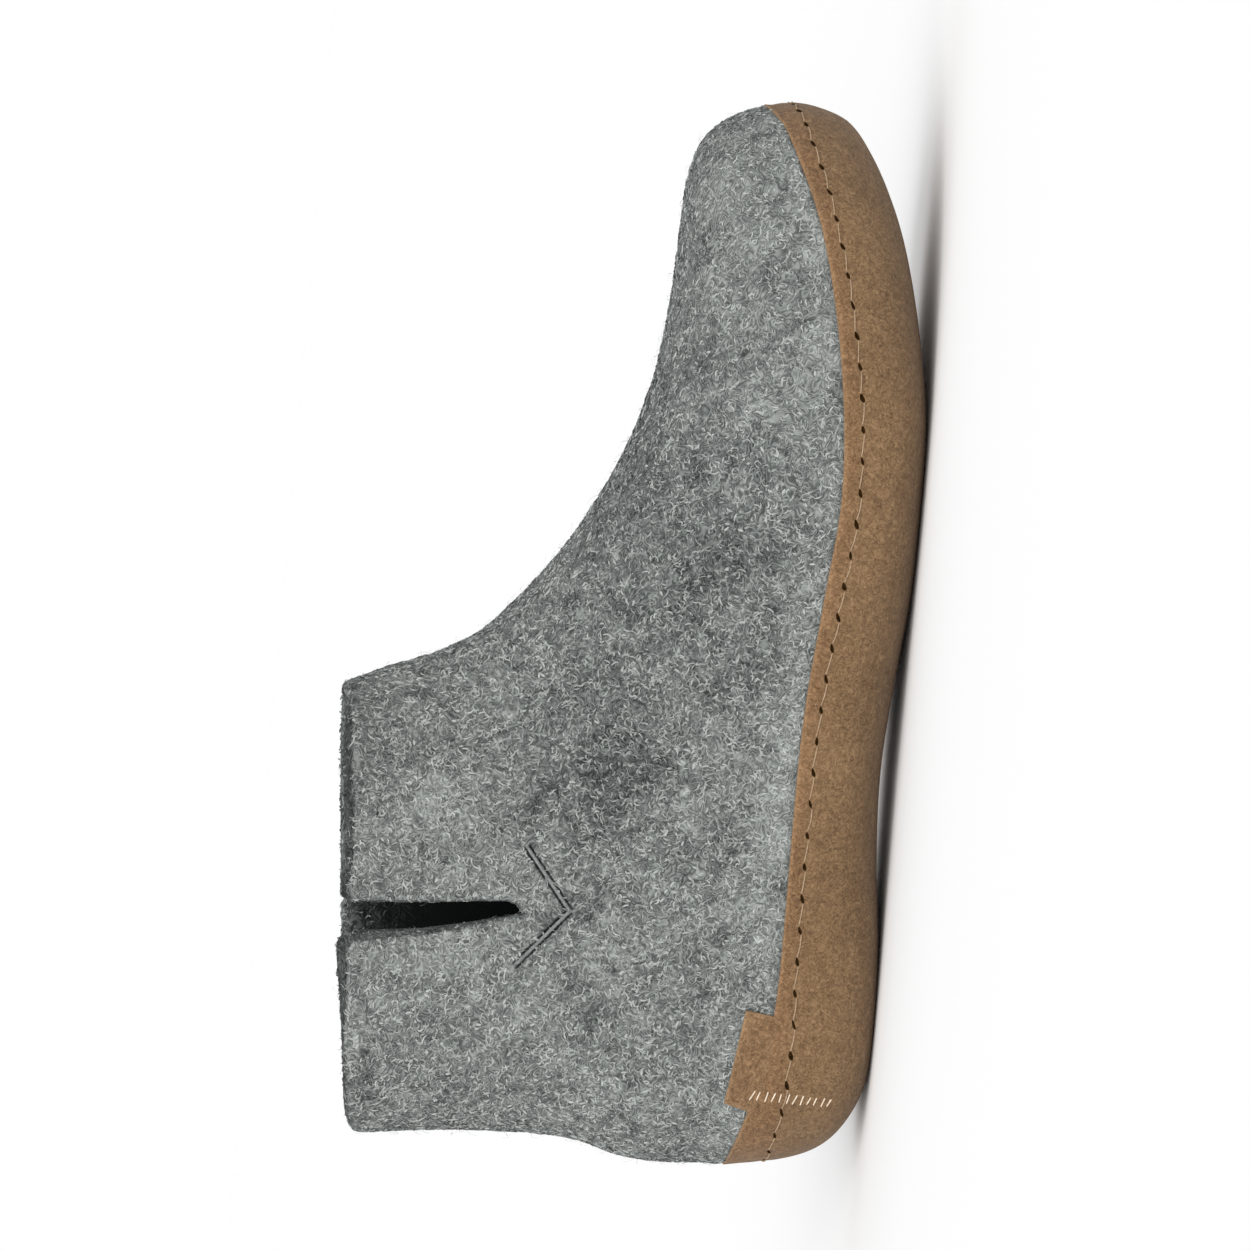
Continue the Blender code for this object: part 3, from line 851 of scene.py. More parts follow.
# %% The rim of the collar
# Each row is an x, how far the rim's outer edge is lowered there, and its inner edge.
RIM_SHAPE = (
    (-141.0, 1.6, 0.3), (-128.0, 0.8, 0.4), (-114.0, 0.4, 0.4), (-105.0, 0.8, 0.1), (-95.0, 1.6, -0.2),
    (-88.0, 1.6, 0.0), (-78.0, 1.2, 0.4), (-62.0, 1.2, -0.4), (-45.0, 1.0, -0.7), (-32.0, 1.0, -0.7),
    (-21.0, 0.5, 0.0),
)
RIM_REACH, BACK_ROUND = 10.0, 0.9
BACK_FROM, BACK_TO = -124.0, -134.0

rim = felt_points[FELT_IDS[-1]]
drop = rim[:, 2] - felt_points[FELT_IDS, 2]
near_rim = near(drop, RIM_REACH) ** 2
at_back = ramp(rim[:, 0], BACK_FROM, BACK_TO)
lowered = np.maximum(ramp(-rim[:, 1], 0.0, SIDE_BLEND), at_back) * near_rim
rim_x, outer_drop, inner_drop = np.array(RIM_SHAPE).T
felt_outer[FELT_IDS, 2] -= np.interp(rim[:, 0], rim_x, outer_drop) * lowered
felt_inner[FELT_IDS, 2] -= np.interp(rim[:, 0], rim_x, inner_drop) * lowered
felt_outer[FELT_IDS, 0] += BACK_ROUND * at_back * near_rim**2
print("collar:", rim[:, 2].min().round(1), "to", rim[:, 2].max().round(1), "mm high")

# %% Close the felt wall
RIM_ROUND, SLIT_ROUND, RIM_STEPS = 0.4, 0.45, 6

ring_of = np.zeros(len(felt_points), int)
ring_of[FELT_IDS] = np.arange(len(T))[:, None]
on_top = ring_of == len(T) - 1
felt_crest = np.where(on_top, RIM_ROUND, SLIT_ROUND)
wall_points, wall_faces, rim_loop = thick_sheet(felt_outer, felt_inner, felt_faces, felt_crest, RIM_STEPS)
at_collar = np.tile(on_top[rim_loop], RIM_STEPS)
print("felt wall:", len(wall_points), "points")

# %% [markdown]
# Two numbers on the felt's points guide its looks. The tone makes an area lighter or darker: wool is
# never evenly mixed, and the tone also carries painted light and shade: painted shade in the folds, on
# the cut faces of the rim and the slits and down inside the boot, and painted light and shade in some
# areas. The nap says how many fibres stand there: fewer towards the toe, and few on a cut edge. They
# could be painted in Blender's weight paint mode, but worked out from distances they can be read and
# changed.

# %% The tone of the felt
# Each area is the x and z of its middle, its reach and its shift. The areas are partly the heather's
# uneven tone and partly painted light and shade.
HEATHER_AND_PAINTED_LIGHT_AREAS = (
    (-44.0, 86.0, 16.0, -0.04), (-34.0, 73.0, 18.0, -0.05), (18.0, 64.0, 30.0, -0.07),
    (-128.0, 85.0, 22.0, 0.05), (-50.0, 115.0, 14.0, 0.06), (-38.0, 38.0, 14.0, 0.05),
    (118.0, 54.0, 16.0, 0.06), (-84.0, 60.0, 12.0, 0.04), (-76.8, 80.0, 2.4, -0.14),
    (-80.0, 128.0, 40.0, 0.05), (85.0, 45.0, 25.0, 0.04),
)
FOLD_PAINTED_SHADE, EDGE_TONE, EDGE_TONE_REACH = 0.05, 0.08, 9.0
INSIDE_RIM_PAINTED_SHADE, INSIDE_PAINTED_SHADE = -0.05, 0.62
INSIDE_DARK_REACH, INSIDE_LIT_REACH = 15.0, 42.0
RIM_PAINTED_SHADE, OUTER_RIM_PAINTED_SHADE, SLIT_EDGE_PAINTED_SHADE = -0.06, -0.18, -0.07


def tone_shifts(points, above):
    """Areas of heather and of painted light and shade, painted shade in folds, pale felt by the leather."""
    total = EDGE_TONE * fades(above, EDGE_TONE_REACH)
    for x, z, reach, shift in HEATHER_AND_PAINTED_LIGHT_AREAS:
        total += shift * np.exp(-((points[:, 0] - x) ** 2 + (points[:, 2] - z) ** 2) / reach**2)
    # Painted shade in the troughs of the folds.
    return total + FOLD_PAINTED_SHADE * np.minimum(fold_heights(points), 0.0)


below_rim = np.zeros(len(felt_points))
below_rim[FELT_IDS] = drop
outer_share = ramp(-felt_points[:, 1], 0.0, SIDE_BLEND)
lit_reach = INSIDE_DARK_REACH + (INSIDE_LIT_REACH - INSIDE_DARK_REACH) * outer_share
# Painted shade: the inner face darkens with depth below the rim, more slowly on the outer side.
inner_painted_shade = INSIDE_RIM_PAINTED_SHADE - INSIDE_PAINTED_SHADE * (1.0 - np.exp(-below_rim / lit_reach))
# Painted shade: the rim's cut faces are darker, most on the outer side, and so are the slits' cut faces.
rim_painted_shade = RIM_PAINTED_SHADE + (OUTER_RIM_PAINTED_SHADE - RIM_PAINTED_SHADE) * np.tile(outer_share[rim_loop], RIM_STEPS)
edge_painted_shade = np.where(at_collar, rim_painted_shade, SLIT_EDGE_PAINTED_SHADE)
tone = np.concatenate([tone_shifts(felt_outer, above_edge), inner_painted_shade, edge_painted_shade])
print("felt tone:", tone.min().round(2), "to", tone.max().round(2))

# %% The nap of the felt, and the upper
NAP_RISE, NAP_START = 7.0, 0.1
SEWN_FLAT, SEWN_FLAT_REACH, SEWN_NAP = 0.6, 1.8, 0.1
SMOOTH_TOE, SMOOTH_TOE_START, SMOOTH_TOE_END = 0.4, -10.0, 70.0
INSIDE_NAP, RIM_NAP, SLIT_EDGE_NAP = 0.6, 0.25, 0.15

from_chevron = np.minimum(*(side_distance(felt_outer, CHEVRON_TIP, end) for end in CHEVRON_ENDS))
outer_nap = np.clip(bare * NAP_RISE - NAP_START, 0.0, 1.0)
outer_nap *= np.clip((from_chevron - SEWN_FLAT) / SEWN_FLAT_REACH, SEWN_NAP, 1.0)
outer_nap *= 1.0 - SMOOTH_TOE * ramp(felt_outer[:, 0], SMOOTH_TOE_START, SMOOTH_TOE_END)
inner_nap = INSIDE_NAP * near(below_rim, lit_reach)
nap = np.concatenate([outer_nap, inner_nap, np.where(at_collar, RIM_NAP, SLIT_EDGE_NAP)])
felt_mesh = new_mesh("felt_upper", wall_points, wall_faces, nap=nap, tone=tone)
felt_upper = new_piece("felt_upper", felt_mesh, FELT, "upper")

# %% [markdown]
# ## The leather cup
# The sole is one piece of leather, moulded wet over the felt: a tread about 3 mm thick and a side that
# turns up to a cut edge. A Shrinkwrap modifier could wrap a flat piece round the felt, but the cut edge
# has to follow a drawn line, so the grid follows the rings of the last. On each ring it runs from the
# cut edge on the outer side, under the foot, to the edge on the inner side. It is flat where it stands.

# %% Arcs of the last below an edge
SEAT_GAP, LEATHER_SIDE, LEATHER_TREAD = 0.3, 1.6, 3.0
ARC_SAMPLES, HALVINGS = 4 * HALF_COLUMNS, 40


def leather_distance(normals):
    """How far the leather's outside lies from the felt: the tread is thicker than the side."""
    facing_down = np.clip(-normals[..., 2], 0.0, 1.0)
    return SEAT_GAP + LEATHER_SIDE + (LEATHER_TREAD - LEATHER_SIDE) * facing_down


def below_edge(t, edge, distance):
    """The columns, outer and inner, between which a ring lies below an edge, or None where none does."""
    ends = []
    for side in (-1, 1):
        column = np.linspace(HALF_COLUMNS, 0.0, ARC_SAMPLES + 1)
        column = column if side < 0 else LAST_COLUMNS - column
        points, normals = on_last(t, column)
        points = points + normals * distance(normals)[..., None]
        over = points[:, 2] - edge(points[:, 0])
        if over[0] >= 0.0:
            return None
        first = int(np.argmax(over > 0.0))
        if first == 0:
            ends.append(column[-1])
            continue
        share = over[first - 1] / (over[first - 1] - over[first])
        ends.append(column[first - 1] + share * (column[first] - column[first - 1]))
    return ends


def last_ring_below(edge, distance, start, end):
    """The section position, between two, where the back line comes up to the edge."""
    for _ in range(HALVINGS):
        middle = (start + end) / 2
        start, end = (middle, end) if below_edge(middle, edge, distance) else (start, middle)
    return start


def crowded(start, end, count):
    """Positions from start to end that crowd together towards the end."""
    return end - (end - start) * (1.0 - np.linspace(0.0, 1.0, count)) ** 2


def arc_columns(ends, count):
    """Evenly spaced columns from one end of each arc to the other."""
    return ends[:, :1] + (ends[:, 1:] - ends[:, :1]) * np.linspace(0.0, 1.0, count + 1)


# %% The leather's grid
LEATHER_STEP, LEATHER_COLUMNS = 1.5, 96
TOE_ROWS, TOE_END_T = 12, 1.0
HEEL_ROWS, HEEL_SPAN = 26, 1.2
HEEL_SEARCH = (17.0, 22.0)
FULL_TURN = LAST_COLUMNS - 1e-6

HEEL_T = last_ring_below(edge_height, leather_distance, *HEEL_SEARCH)
middle_t = ring_positions(LEATHER_STEP)
middle_t = middle_t[(middle_t > TOE_END_T) & (middle_t < HEEL_T - HEEL_SPAN)]
LEATHER_T = np.concatenate([
    np.linspace(0.0, TOE_END_T, TOE_ROWS)[:-1],
    middle_t,
    crowded(HEEL_T - HEEL_SPAN, HEEL_T, HEEL_ROWS),
])
LEATHER_ENDS = np.array([
    below_edge(t, edge_height, leather_distance) or (HALF_COLUMNS, HALF_COLUMNS) for t in LEATHER_T
])
arcs = arc_columns(LEATHER_ENDS, LEATHER_COLUMNS)
cup_base, cup_normals = on_last(LEATHER_T[:, None], arcs)
ids = np.arange(arcs.size).reshape(arcs.shape)
closed_toe = LEATHER_ENDS[:, 1] - LEATHER_ENDS[:, 0] > FULL_TURN
ids[closed_toe, -1] = ids[closed_toe, 0]
ids[0], ids[-1] = ids[0, 0], ids[-1, 0]
CUP_IDS, cup_points = welded(ids, cup_base)
_, cup_facing = welded(ids, cup_normals)
cup_faces = grid_faces(CUP_IDS)
print("leather grid:", arcs.shape, "heel ends at", round(HEEL_T, 2))

# %% [markdown]
# The seam that holds the leather to the felt runs below the cut edge, all round the boot, and lower at
# the heel. A curve drawn by hand would leave the leather here and there, so the path is found on the
# last, from a table of distances to the edge. The needle dents the leather at each hole, so the path
# comes before the leather.

# %% The path of the seam
# Each row is an x and the seam's distance from the edge there.
SEAM_DROPS = (
    (-150.0, 10.2), (-137.0, 9.5), (-121.0, 7.9), (-106.0, 5.9), (-90.0, 4.1), (-60.0, 3.8),
    (0.0, 4.1), (60.0, 4.8), (110.0, 4.0), (135.0, 4.8), (150.0, 5.0),
)
SEAM_SEARCH = (15.0, 21.0)
SEAM_START_T, SEAM_ROWS, SEAM_HEEL_SPAN, SEAM_HEEL_ROWS = 0.05, 520, 1.0, 90


def seam_edge(x):
    """The leather's edge lowered by the seam's distance from it, measured square to the edge."""
    slope = edge_height(x + 0.5) - edge_height(x - 0.5)
    return edge_height(x) - np.interp(x, *np.array(SEAM_DROPS).T) * np.sqrt(1.0 + slope**2)


def seam_path():
    """The seam's points and normals: from the toe along the outer side, and back along the inner."""
    end = last_ring_below(seam_edge, leather_distance, *SEAM_SEARCH)
    positions = np.concatenate([
        np.linspace(SEAM_START_T, end - SEAM_HEEL_SPAN, SEAM_ROWS),
        crowded(end - SEAM_HEEL_SPAN, end, SEAM_HEEL_ROWS),
    ])
    found = [(t, below_edge(t, seam_edge, leather_distance)) for t in positions]
    found = [(t, ends) for t, ends in found if ends and ends[1] - ends[0] < FULL_TURN]
    spots = [(t, ends[0]) for t, ends in found] + [(t, ends[1]) for t, ends in found[::-1]]
    base, normals = on_last(*np.array(spots).T)
    return base + normals * leather_distance(normals)[:, None], normals


# %% Divide the seam into stitches
SEAM_PITCH, PARTS_PER_STITCH = 8.4, 8


def even_path(points, normals, lengths, count):
    """A closed path read at evenly spaced places: points, normals and directions."""
    wanted = np.linspace(0.0, lengths[-1], count, endpoint=False)
    spots = read_along(points, lengths, wanted)
    ways = unit(np.roll(spots, -1, axis=0) - np.roll(spots, 1, axis=0))
    return spots, unit(read_along(normals, lengths, wanted)), ways


raw_path, raw_normals = (np.vstack([values, values[:1]]) for values in seam_path())
raw_lengths = lengths_along(raw_path)
STITCHES = round(raw_lengths[-1] / SEAM_PITCH)
seam_points, seam_normals, seam_ways = even_path(
    raw_path, raw_normals, raw_lengths, STITCHES * PARTS_PER_STITCH)
print(f"seam: {raw_lengths[-1]:.0f} mm, {STITCHES} stitches")

# %% Mould and dent the leather
# Each row is after how many parts of the seam the next dent follows, its depth and its reach.
DENTS = ((PARTS_PER_STITCH, 0.22, 2.2), (2, 0.14, 1.6))
DENTS_LOWEST = 5.0
TOE_FULLER, TOE_FULLER_FROM, TOE_FULLER_TO, TOE_FULLER_REACH = 1.4, 116.0, 136.0, 5.0
HEEL_TIGHTER, HEEL_TIGHTER_FROM, HEEL_TIGHTER_TO = 0.9, -127.0, -137.0
HEEL_TIGHTER_LOW, HEEL_TIGHTER_HIGH = 12.0, 32.0


def nearest_distance(points, targets):
    return np.array([np.sqrt(((targets - point) ** 2).sum(axis=1).min()) for point in points])


cup_x, cup_z = cup_points[:, 0], cup_points[:, 2]
dents = np.zeros(len(cup_points))
for every, depth, reach in DENTS:
    on_felt = seam_points[::every] - seam_normals[::every] * (SEAT_GAP + LEATHER_SIDE)
    dents += depth * fades(nearest_distance(cup_points, on_felt), reach) * (cup_z > DENTS_LOWEST)
at_toe = ramp(cup_x, TOE_FULLER_FROM, TOE_FULLER_TO) ** 2
at_heel = ramp(cup_x, HEEL_TIGHTER_FROM, HEEL_TIGHTER_TO) ** 2
under_edge = ramp(edge_height(cup_x) - cup_z, 0.0, TOE_FULLER_REACH)
off_floor = ramp(cup_z, HEEL_TIGHTER_LOW, HEEL_TIGHTER_HIGH)
moulded = TOE_FULLER * at_toe * under_edge - HEEL_TIGHTER * at_heel * off_floor
cup_outer = cup_points + cup_facing * (leather_distance(cup_facing) + moulded - dents)[:, None]
cup_outer[:, 2] = np.maximum(cup_outer[:, 2], 0.0)
cup_inner = cup_points + cup_facing * (SEAT_GAP + moulded)[:, None]
print("leather dented by up to", dents.max().round(2), "mm")

# %% The leather cup
EDGE_ROUND, EDGE_STEPS = 0.18, 3
CUP_EDGE_CUT, BAND_BLEND = 0.75, 1.5


def cut_shares(wall, sheet, loop, on_loop):
    """How raw each point of a wall is: fully between its two faces, partly at the outer edge."""
    cut = np.zeros(len(wall))
    cut[2 * len(sheet):] = 1.0
    cut[loop] = on_loop
    return cut


cup_wall, cup_wall_faces, cup_loop = thick_sheet(cup_outer, cup_inner, cup_faces, EDGE_ROUND, EDGE_STEPS)
cut = cut_shares(cup_wall, cup_points, cup_loop, CUP_EDGE_CUT)
band = ramp(cup_wall[:, 2] - seam_edge(cup_wall[:, 0]), 0.0, BAND_BLEND)
cup_mesh = new_mesh("leather_cup", cup_wall, cup_wall_faces, cut=cut, band=band)
leather_cup = new_piece("leather_cup", cup_mesh, LEATHER, "sole")

# %% [markdown]
# ## The side tab
# A small bare tab of the same leather stands up from the edge at the outer side of the heel and lies on
# the felt. It is cut from a strip and keeps a raw, slightly lighter edge. A bent plate would leave gaps
# on felt that curves both ways, so rays from beside the boot find the felt under each point of the tab.

# %% Find points on the boot from beside it
RAY_START = 120.0


def side_finder(points, faces):
    return BVHTree.FromPolygons(list(map(Vector, points.tolist())), list(map(list, faces)))


def from_side(finder, x, z, side):
    """The point and normal of a surface at x and z, seen from the outer side (-1) or the inner (1)."""
    hit, normal, _, _ = finder.ray_cast(Vector((x, side * RAY_START, z)), Vector((0.0, -side, 0.0)))
    return np.array(hit), np.array(normal)


# %% The tab
TAB_FRONT_X, TAB_REAR_X = -98.9, -123.9
TAB_TOP_FRONT, TAB_TOP_REAR = np.array((-97.8, 35.1)), np.array((-122.0, 38.3))
TAB_ROWS, TAB_COLUMNS = 9, 22
TAB_TUCK, TAB_PROUD, TAB_OFF_FELT = 0.9, 0.06, 0.1
TAB_EDGE_ROUND, TAB_EDGE_CUT = 0.15, 0.8

smooth_felt = side_finder(felt_points, felt_faces)
tab_spots = []
for across in np.linspace(0.0, 1.0, TAB_COLUMNS + 1):
    foot_x = TAB_REAR_X + (TAB_FRONT_X - TAB_REAR_X) * across
    foot = np.array([foot_x, edge_height(foot_x) - TAB_TUCK])
    top = TAB_TOP_REAR + (TAB_TOP_FRONT - TAB_TOP_REAR) * across
    for up in np.linspace(0.0, 1.0, TAB_ROWS + 1):
        tab_spots.append(from_side(smooth_felt, *(foot + (top - foot) * up), -1))
tab_base, tab_facing = (np.array(values) for values in zip(*tab_spots))
tab_facing = unit(tab_facing)
tab_faces = grid_faces(np.arange(len(tab_base)).reshape(TAB_COLUMNS + 1, TAB_ROWS + 1))
tab_outer = tab_base + tab_facing * (SEAT_GAP + LEATHER_SIDE + TAB_PROUD)
tab_inner = tab_base + tab_facing * (SEAT_GAP + TAB_OFF_FELT)
tab_wall, tab_wall_faces, tab_loop = thick_sheet(
    tab_outer, tab_inner, tab_faces, TAB_EDGE_ROUND, EDGE_STEPS)
tab_cut = cut_shares(tab_wall, tab_base, tab_loop, TAB_EDGE_CUT)
tab_mesh = new_mesh("bare_tab", tab_wall, tab_wall_faces, cut=tab_cut)
bare_tab = new_piece("bare_tab", tab_mesh, TAB_LEATHER, "side_tab")

# %% [markdown]
# ## The insole
# A loose felt footbed covers the floor inside. It could be a flat cut-out, but it turns up where the
# wall begins. So it is another sheet of arcs that follows the last a little inside the wall, with a
# lower edge.

# %% The insole
INSOLE_THICKNESS, INSOLE_RISE, INSOLE_PLAY = 3.0, 8.4, 0.05
INSOLE_TOE_X, INSOLE_HEEL_X, INSOLE_END = 119.0, -122.0, 22.0
INSOLE_T = np.linspace(3.2, 17.8, 220)
INSOLE_COLUMNS, INSOLE_EDGE_ROUND = 56, 0.2
FLOOR_ROWS = [dict(zip(SECTION_COLUMNS, row)) for row in SECTIONS[18:2:-1]]
FLOOR_X, FLOOR_Z = ([row[title] for row in FLOOR_ROWS] for title in ("back_x", "back_z"))


def insole_edge(x):
    to_end = ramp(np.minimum(INSOLE_TOE_X - x, x - INSOLE_HEEL_X), 0.0, INSOLE_END)
    turned_up = INSOLE_RISE * np.sqrt(1.0 - (1.0 - to_end) ** 2)
    return np.interp(x, FLOOR_X, FLOOR_Z) + FELT_WALL + SEAT_GAP + turned_up - INSOLE_PLAY


def under_foot(normals):
    return np.full(normals.shape[:-1], -(FELT_WALL + SEAT_GAP + INSOLE_PLAY))


found = [(t, below_edge(t, insole_edge, under_foot)) for t in INSOLE_T]
insole_t, insole_ends = (np.array(values) for values in zip(*(row for row in found if row[1])))
arcs = arc_columns(insole_ends, INSOLE_COLUMNS)
insole_base, insole_normals = (values.reshape(-1, 3) for values in on_last(insole_t[:, None], arcs))
insole_faces = grid_faces(np.arange(arcs.size).reshape(arcs.shape))
insole_under = insole_base + insole_normals * under_foot(insole_normals)[:, None]
insole_top = insole_under - insole_normals * (INSOLE_THICKNESS - 2 * INSOLE_PLAY)
insole_wall, insole_wall_faces, _ = thick_sheet(
    insole_under, insole_top, insole_faces, INSOLE_EDGE_ROUND, EDGE_STEPS)
insole_mesh = new_mesh("felt_insole", insole_wall, insole_wall_faces)
felt_insole = new_piece("felt_insole", insole_mesh, INSOLE_FELT, "insole")

# %% [markdown]
# ## Threads
# A thread is a thin cord along a path of points. A curve object with a bevel would do for one, but here
# one Geometry Nodes tree turns the edges of a small mesh into curves and sweeps a round section along
# them all. It serves the seam, the sewn bar at the heel and the grey chevrons that stop the slits from
# tearing.

# %% A tree that turns paths into thread
def new_tree(name, *sockets):
    tree = bpy.data.node_groups.new(name, "GeometryNodeTree")
    tree.is_modifier = True
    tree.interface.new_socket("Geometry", in_out="INPUT", socket_type="NodeSocketGeometry")
    for title, kind in sockets:
        tree.interface.new_socket(title, in_out="INPUT", socket_type=kind)
    tree.interface.new_socket("Geometry", in_out="OUTPUT", socket_type="NodeSocketGeometry")
    return tree, tree.nodes.new("NodeGroupInput").outputs


def end_tree(tree, geometry, material):
    """The last nodes of every tree: real geometry with a material."""
    real = put(tree, "GeometryNodeRealizeInstances", {"Geometry": geometry}).outputs["Geometry"]
    painted = put(tree, "GeometryNodeSetMaterial", {"Geometry": real, "Material": material})
    put(tree, "NodeGroupOutput", {"Geometry": painted.outputs["Geometry"]})


def thread_tree():
    tree, given = new_tree("thread", ("Radius", "NodeSocketFloat"), ("Sides", "NodeSocketInt"),
                           ("Material", "NodeSocketMaterial"))
    path = put(tree, "GeometryNodeMeshToCurve", {"Mesh": given["Geometry"]}).outputs["Curve"]
    round_section = {"Resolution": given["Sides"], "Radius": given["Radius"]}
    section = put(tree, "GeometryNodeCurvePrimitiveCircle", round_section).outputs["Curve"]
    swept = {"Curve": path, "Profile Curve": section, "Fill Caps": True}
    cord = put(tree, "GeometryNodeCurveToMesh", swept).outputs["Mesh"]
    smooth = put(tree, "GeometryNodeSetShadeSmooth", {"Geometry": cord}).outputs["Geometry"]
    end_tree(tree, smooth, given["Material"])
    return tree


THREAD = thread_tree()


# %% Grow a piece from a tree
def grown(name, mesh, tree, **sizes):
    """A piece made by a tree from a mesh, as a plain mesh with no modifier left."""
    piece = bpy.data.objects.new(name, mesh)
    SCENE.collection.objects.link(piece)
    step = piece.modifiers.new(tree.name, "NODES")
    step.node_group = tree
    for item in tree.interface.items_tree:
        if item.item_type == "SOCKET" and item.in_out == "INPUT" and item.name in sizes:
            step[item.identifier] = sizes[item.name]
    graph = bpy.context.evaluated_depsgraph_get()
    made = bpy.data.meshes.new_from_object(
        piece.evaluated_get(graph), preserve_all_data_layers=True, depsgraph=graph)
    piece.modifiers.clear()
    piece.data = made
    made.name = name
    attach(piece, "root")
    tell_triangles(name, made)
    return piece


def path_mesh(name, paths):
    """A mesh without faces: points, with edges along each path."""
    points = np.vstack(paths) * MM
    edges, start = [], 0
    for path in paths:
        edges += [(start + k, start + k + 1) for k in range(len(path) - 1)]
        start += len(path)
    mesh = bpy.data.meshes.new(name)
    mesh.from_pydata(points.tolist(), edges, [])
    return mesh


# %% The running stitch
STITCH_RADIUS, STITCH_SIDES = 0.2, 6
STITCH_LIFT, STITCH_SINK = 0.14, -0.4
STITCH_DIVE, STITCH_STEEPNESS = 0.3, 3.0
STITCH_SAG, STITCH_BOW = 0.45, (-0.1, 0.2)
RANDOM_SEED = 7

random = np.random.default_rng(RANDOM_SEED)
cup_finder = side_finder(cup_outer, cup_faces)


def on_leather(points, lift):
    """Points moved to the nearest place on the leather and raised from it, and the normals there."""
    found = [cup_finder.find_nearest(Vector(point)) for point in points.tolist()]
    normals = unit(np.array([normal for _, normal, _, _ in found]))
    return np.array([place for place, _, _, _ in found]) + normals * np.asarray(lift)[..., None], normals


share = np.linspace(0.0, 1.0, PARTS_PER_STITCH + 1)
bow = np.sin(math.pi * share)
surfaced = np.clip((bow - STITCH_DIVE) * STITCH_STEEPNESS, 0.0, 1.0)
lift = STITCH_SINK + (STITCH_LIFT - STITCH_SINK) * surfaced
stitch_paths = []
for stitch in range(STITCHES):
    part = (np.arange(PARTS_PER_STITCH + 1) + stitch * PARTS_PER_STITCH) % len(seam_points)
    upwards = np.cross(seam_normals[part], seam_ways[part]) * np.sign(seam_normals[part][:, 1:2])
    towards_toe = np.sign(seam_ways[part[0], 0])
    climb = STITCH_SAG * (2.0 * share - 1.0) * -towards_toe + bow * random.normal(*STITCH_BOW)
    stitch_paths.append(on_leather(seam_points[part] + upwards * climb[:, None], lift)[0])
running_stitch = grown("running_stitch", path_mesh("running_stitch", stitch_paths), THREAD,
                       Radius=STITCH_RADIUS * MM, Sides=STITCH_SIDES, Material=SEAM_THREAD)

# %% [markdown]
# Each stitch ends in a needle hole that the pull of the thread has drawn long. A real hole would need
# a cut through the leather, far finer than its grid. So each is a flat plug, dark with the hole's painted
# shadow, pressed into the leather and turned along the seam: one small form, instanced on the hole points.

# %% The form of a needle hole
HOLE_LONG, HOLE_WIDE, HOLE_SIDES = 1.18, 0.46, 14
HOLE_BEND, HOLE_FAT_END = 0.22, 0.25
# Each row is a share of the outline and a height over the leather.
HOLE_PROFILE = ((1.0, -0.3), (1.0, 0.10), (0.85, 0.15), (0.4, 0.16))


def hole_form():
    """A long dark plug with a flat top, pressed into the leather: the hole's painted shadow."""
    angle = np.linspace(0.0, 2 * math.pi, HOLE_SIDES, endpoint=False)
    bean = np.column_stack([HOLE_LONG * np.cos(angle) * (1.0 + HOLE_BEND * np.sin(angle)),
                            HOLE_WIDE * np.sin(angle) * (1.0 + HOLE_FAT_END * np.cos(angle))])
    rows = [np.column_stack([bean * share, np.full(HOLE_SIDES, height)]) for share, height in HOLE_PROFILE]
    ids = np.arange(len(rows) * HOLE_SIDES).reshape(len(rows), HOLE_SIDES)
    faces = [tuple(face[::-1]) for face in grid_faces(np.hstack([ids, ids[:, :1]]))]
    faces += [tuple(ids[0, ::-1].tolist()), tuple(ids[-1].tolist())]
    return bpy.data.objects.new("hole", new_mesh("hole", np.vstack(rows), faces))


# %% A tree that sets the holes
HOLE_SMALL, HOLE_LARGE = (0.8, 0.75, 0.9), (1.2, 1.25, 1.1)


def random_between(tree, low, high, seed):
    """A random number for each point, or a random vector where low and high are vectors."""
    if isinstance(low, tuple):
        inputs = {"Min": low, "Max": high, "Seed": seed}
        return put(tree, "FunctionNodeRandomValue", inputs, data_type="FLOAT_VECTOR").outputs[0]
    inputs = {2: low, 3: high, "Seed": seed}
    return put(tree, "FunctionNodeRandomValue", inputs, data_type="FLOAT").outputs[1]


def carried(tree, name, kind):
    """A value that the mesh carries on its points, for Geometry Nodes."""
    return put(tree, "GeometryNodeInputNamedAttribute", {"Name": name}, data_type=kind).outputs[0]


def hole_tree():
    tree, given = new_tree("needle_holes", ("Form", "NodeSocketObject"), ("Seed", "NodeSocketInt"),
                           ("Material", "NodeSocketMaterial"))
    facing, way = carried(tree, "facing", "FLOAT_VECTOR"), carried(tree, "way", "FLOAT_VECTOR")
    upright = put(tree, "FunctionNodeAlignRotationToVector", {"Vector": facing}, axis="Z")
    turned = put(tree, "FunctionNodeAlignRotationToVector",
                 {"Rotation": upright.outputs["Rotation"], "Vector": way}, axis="X", pivot_axis="Z")
    form = put(tree, "GeometryNodeObjectInfo", {"Object": given["Form"]}).outputs["Geometry"]
    holes = put(tree, "GeometryNodeInstanceOnPoints", {
        "Points": given["Geometry"], "Instance": form, "Rotation": turned.outputs["Rotation"],
        "Scale": random_between(tree, HOLE_SMALL, HOLE_LARGE, given["Seed"])})
    end_tree(tree, holes.outputs["Instances"], given["Material"])
    return tree


# %% Needle holes
HOLE_TILT, HOLE_TILT_SPREAD, HOLE_SEED = -0.30, 0.10, 3


def add_vectors(mesh, **vectors):
    for title, values in vectors.items():
        data = mesh.attributes.new(title, "FLOAT_VECTOR", "POINT").data
        data.foreach_set("vector", np.asarray(values, np.float32).ravel())


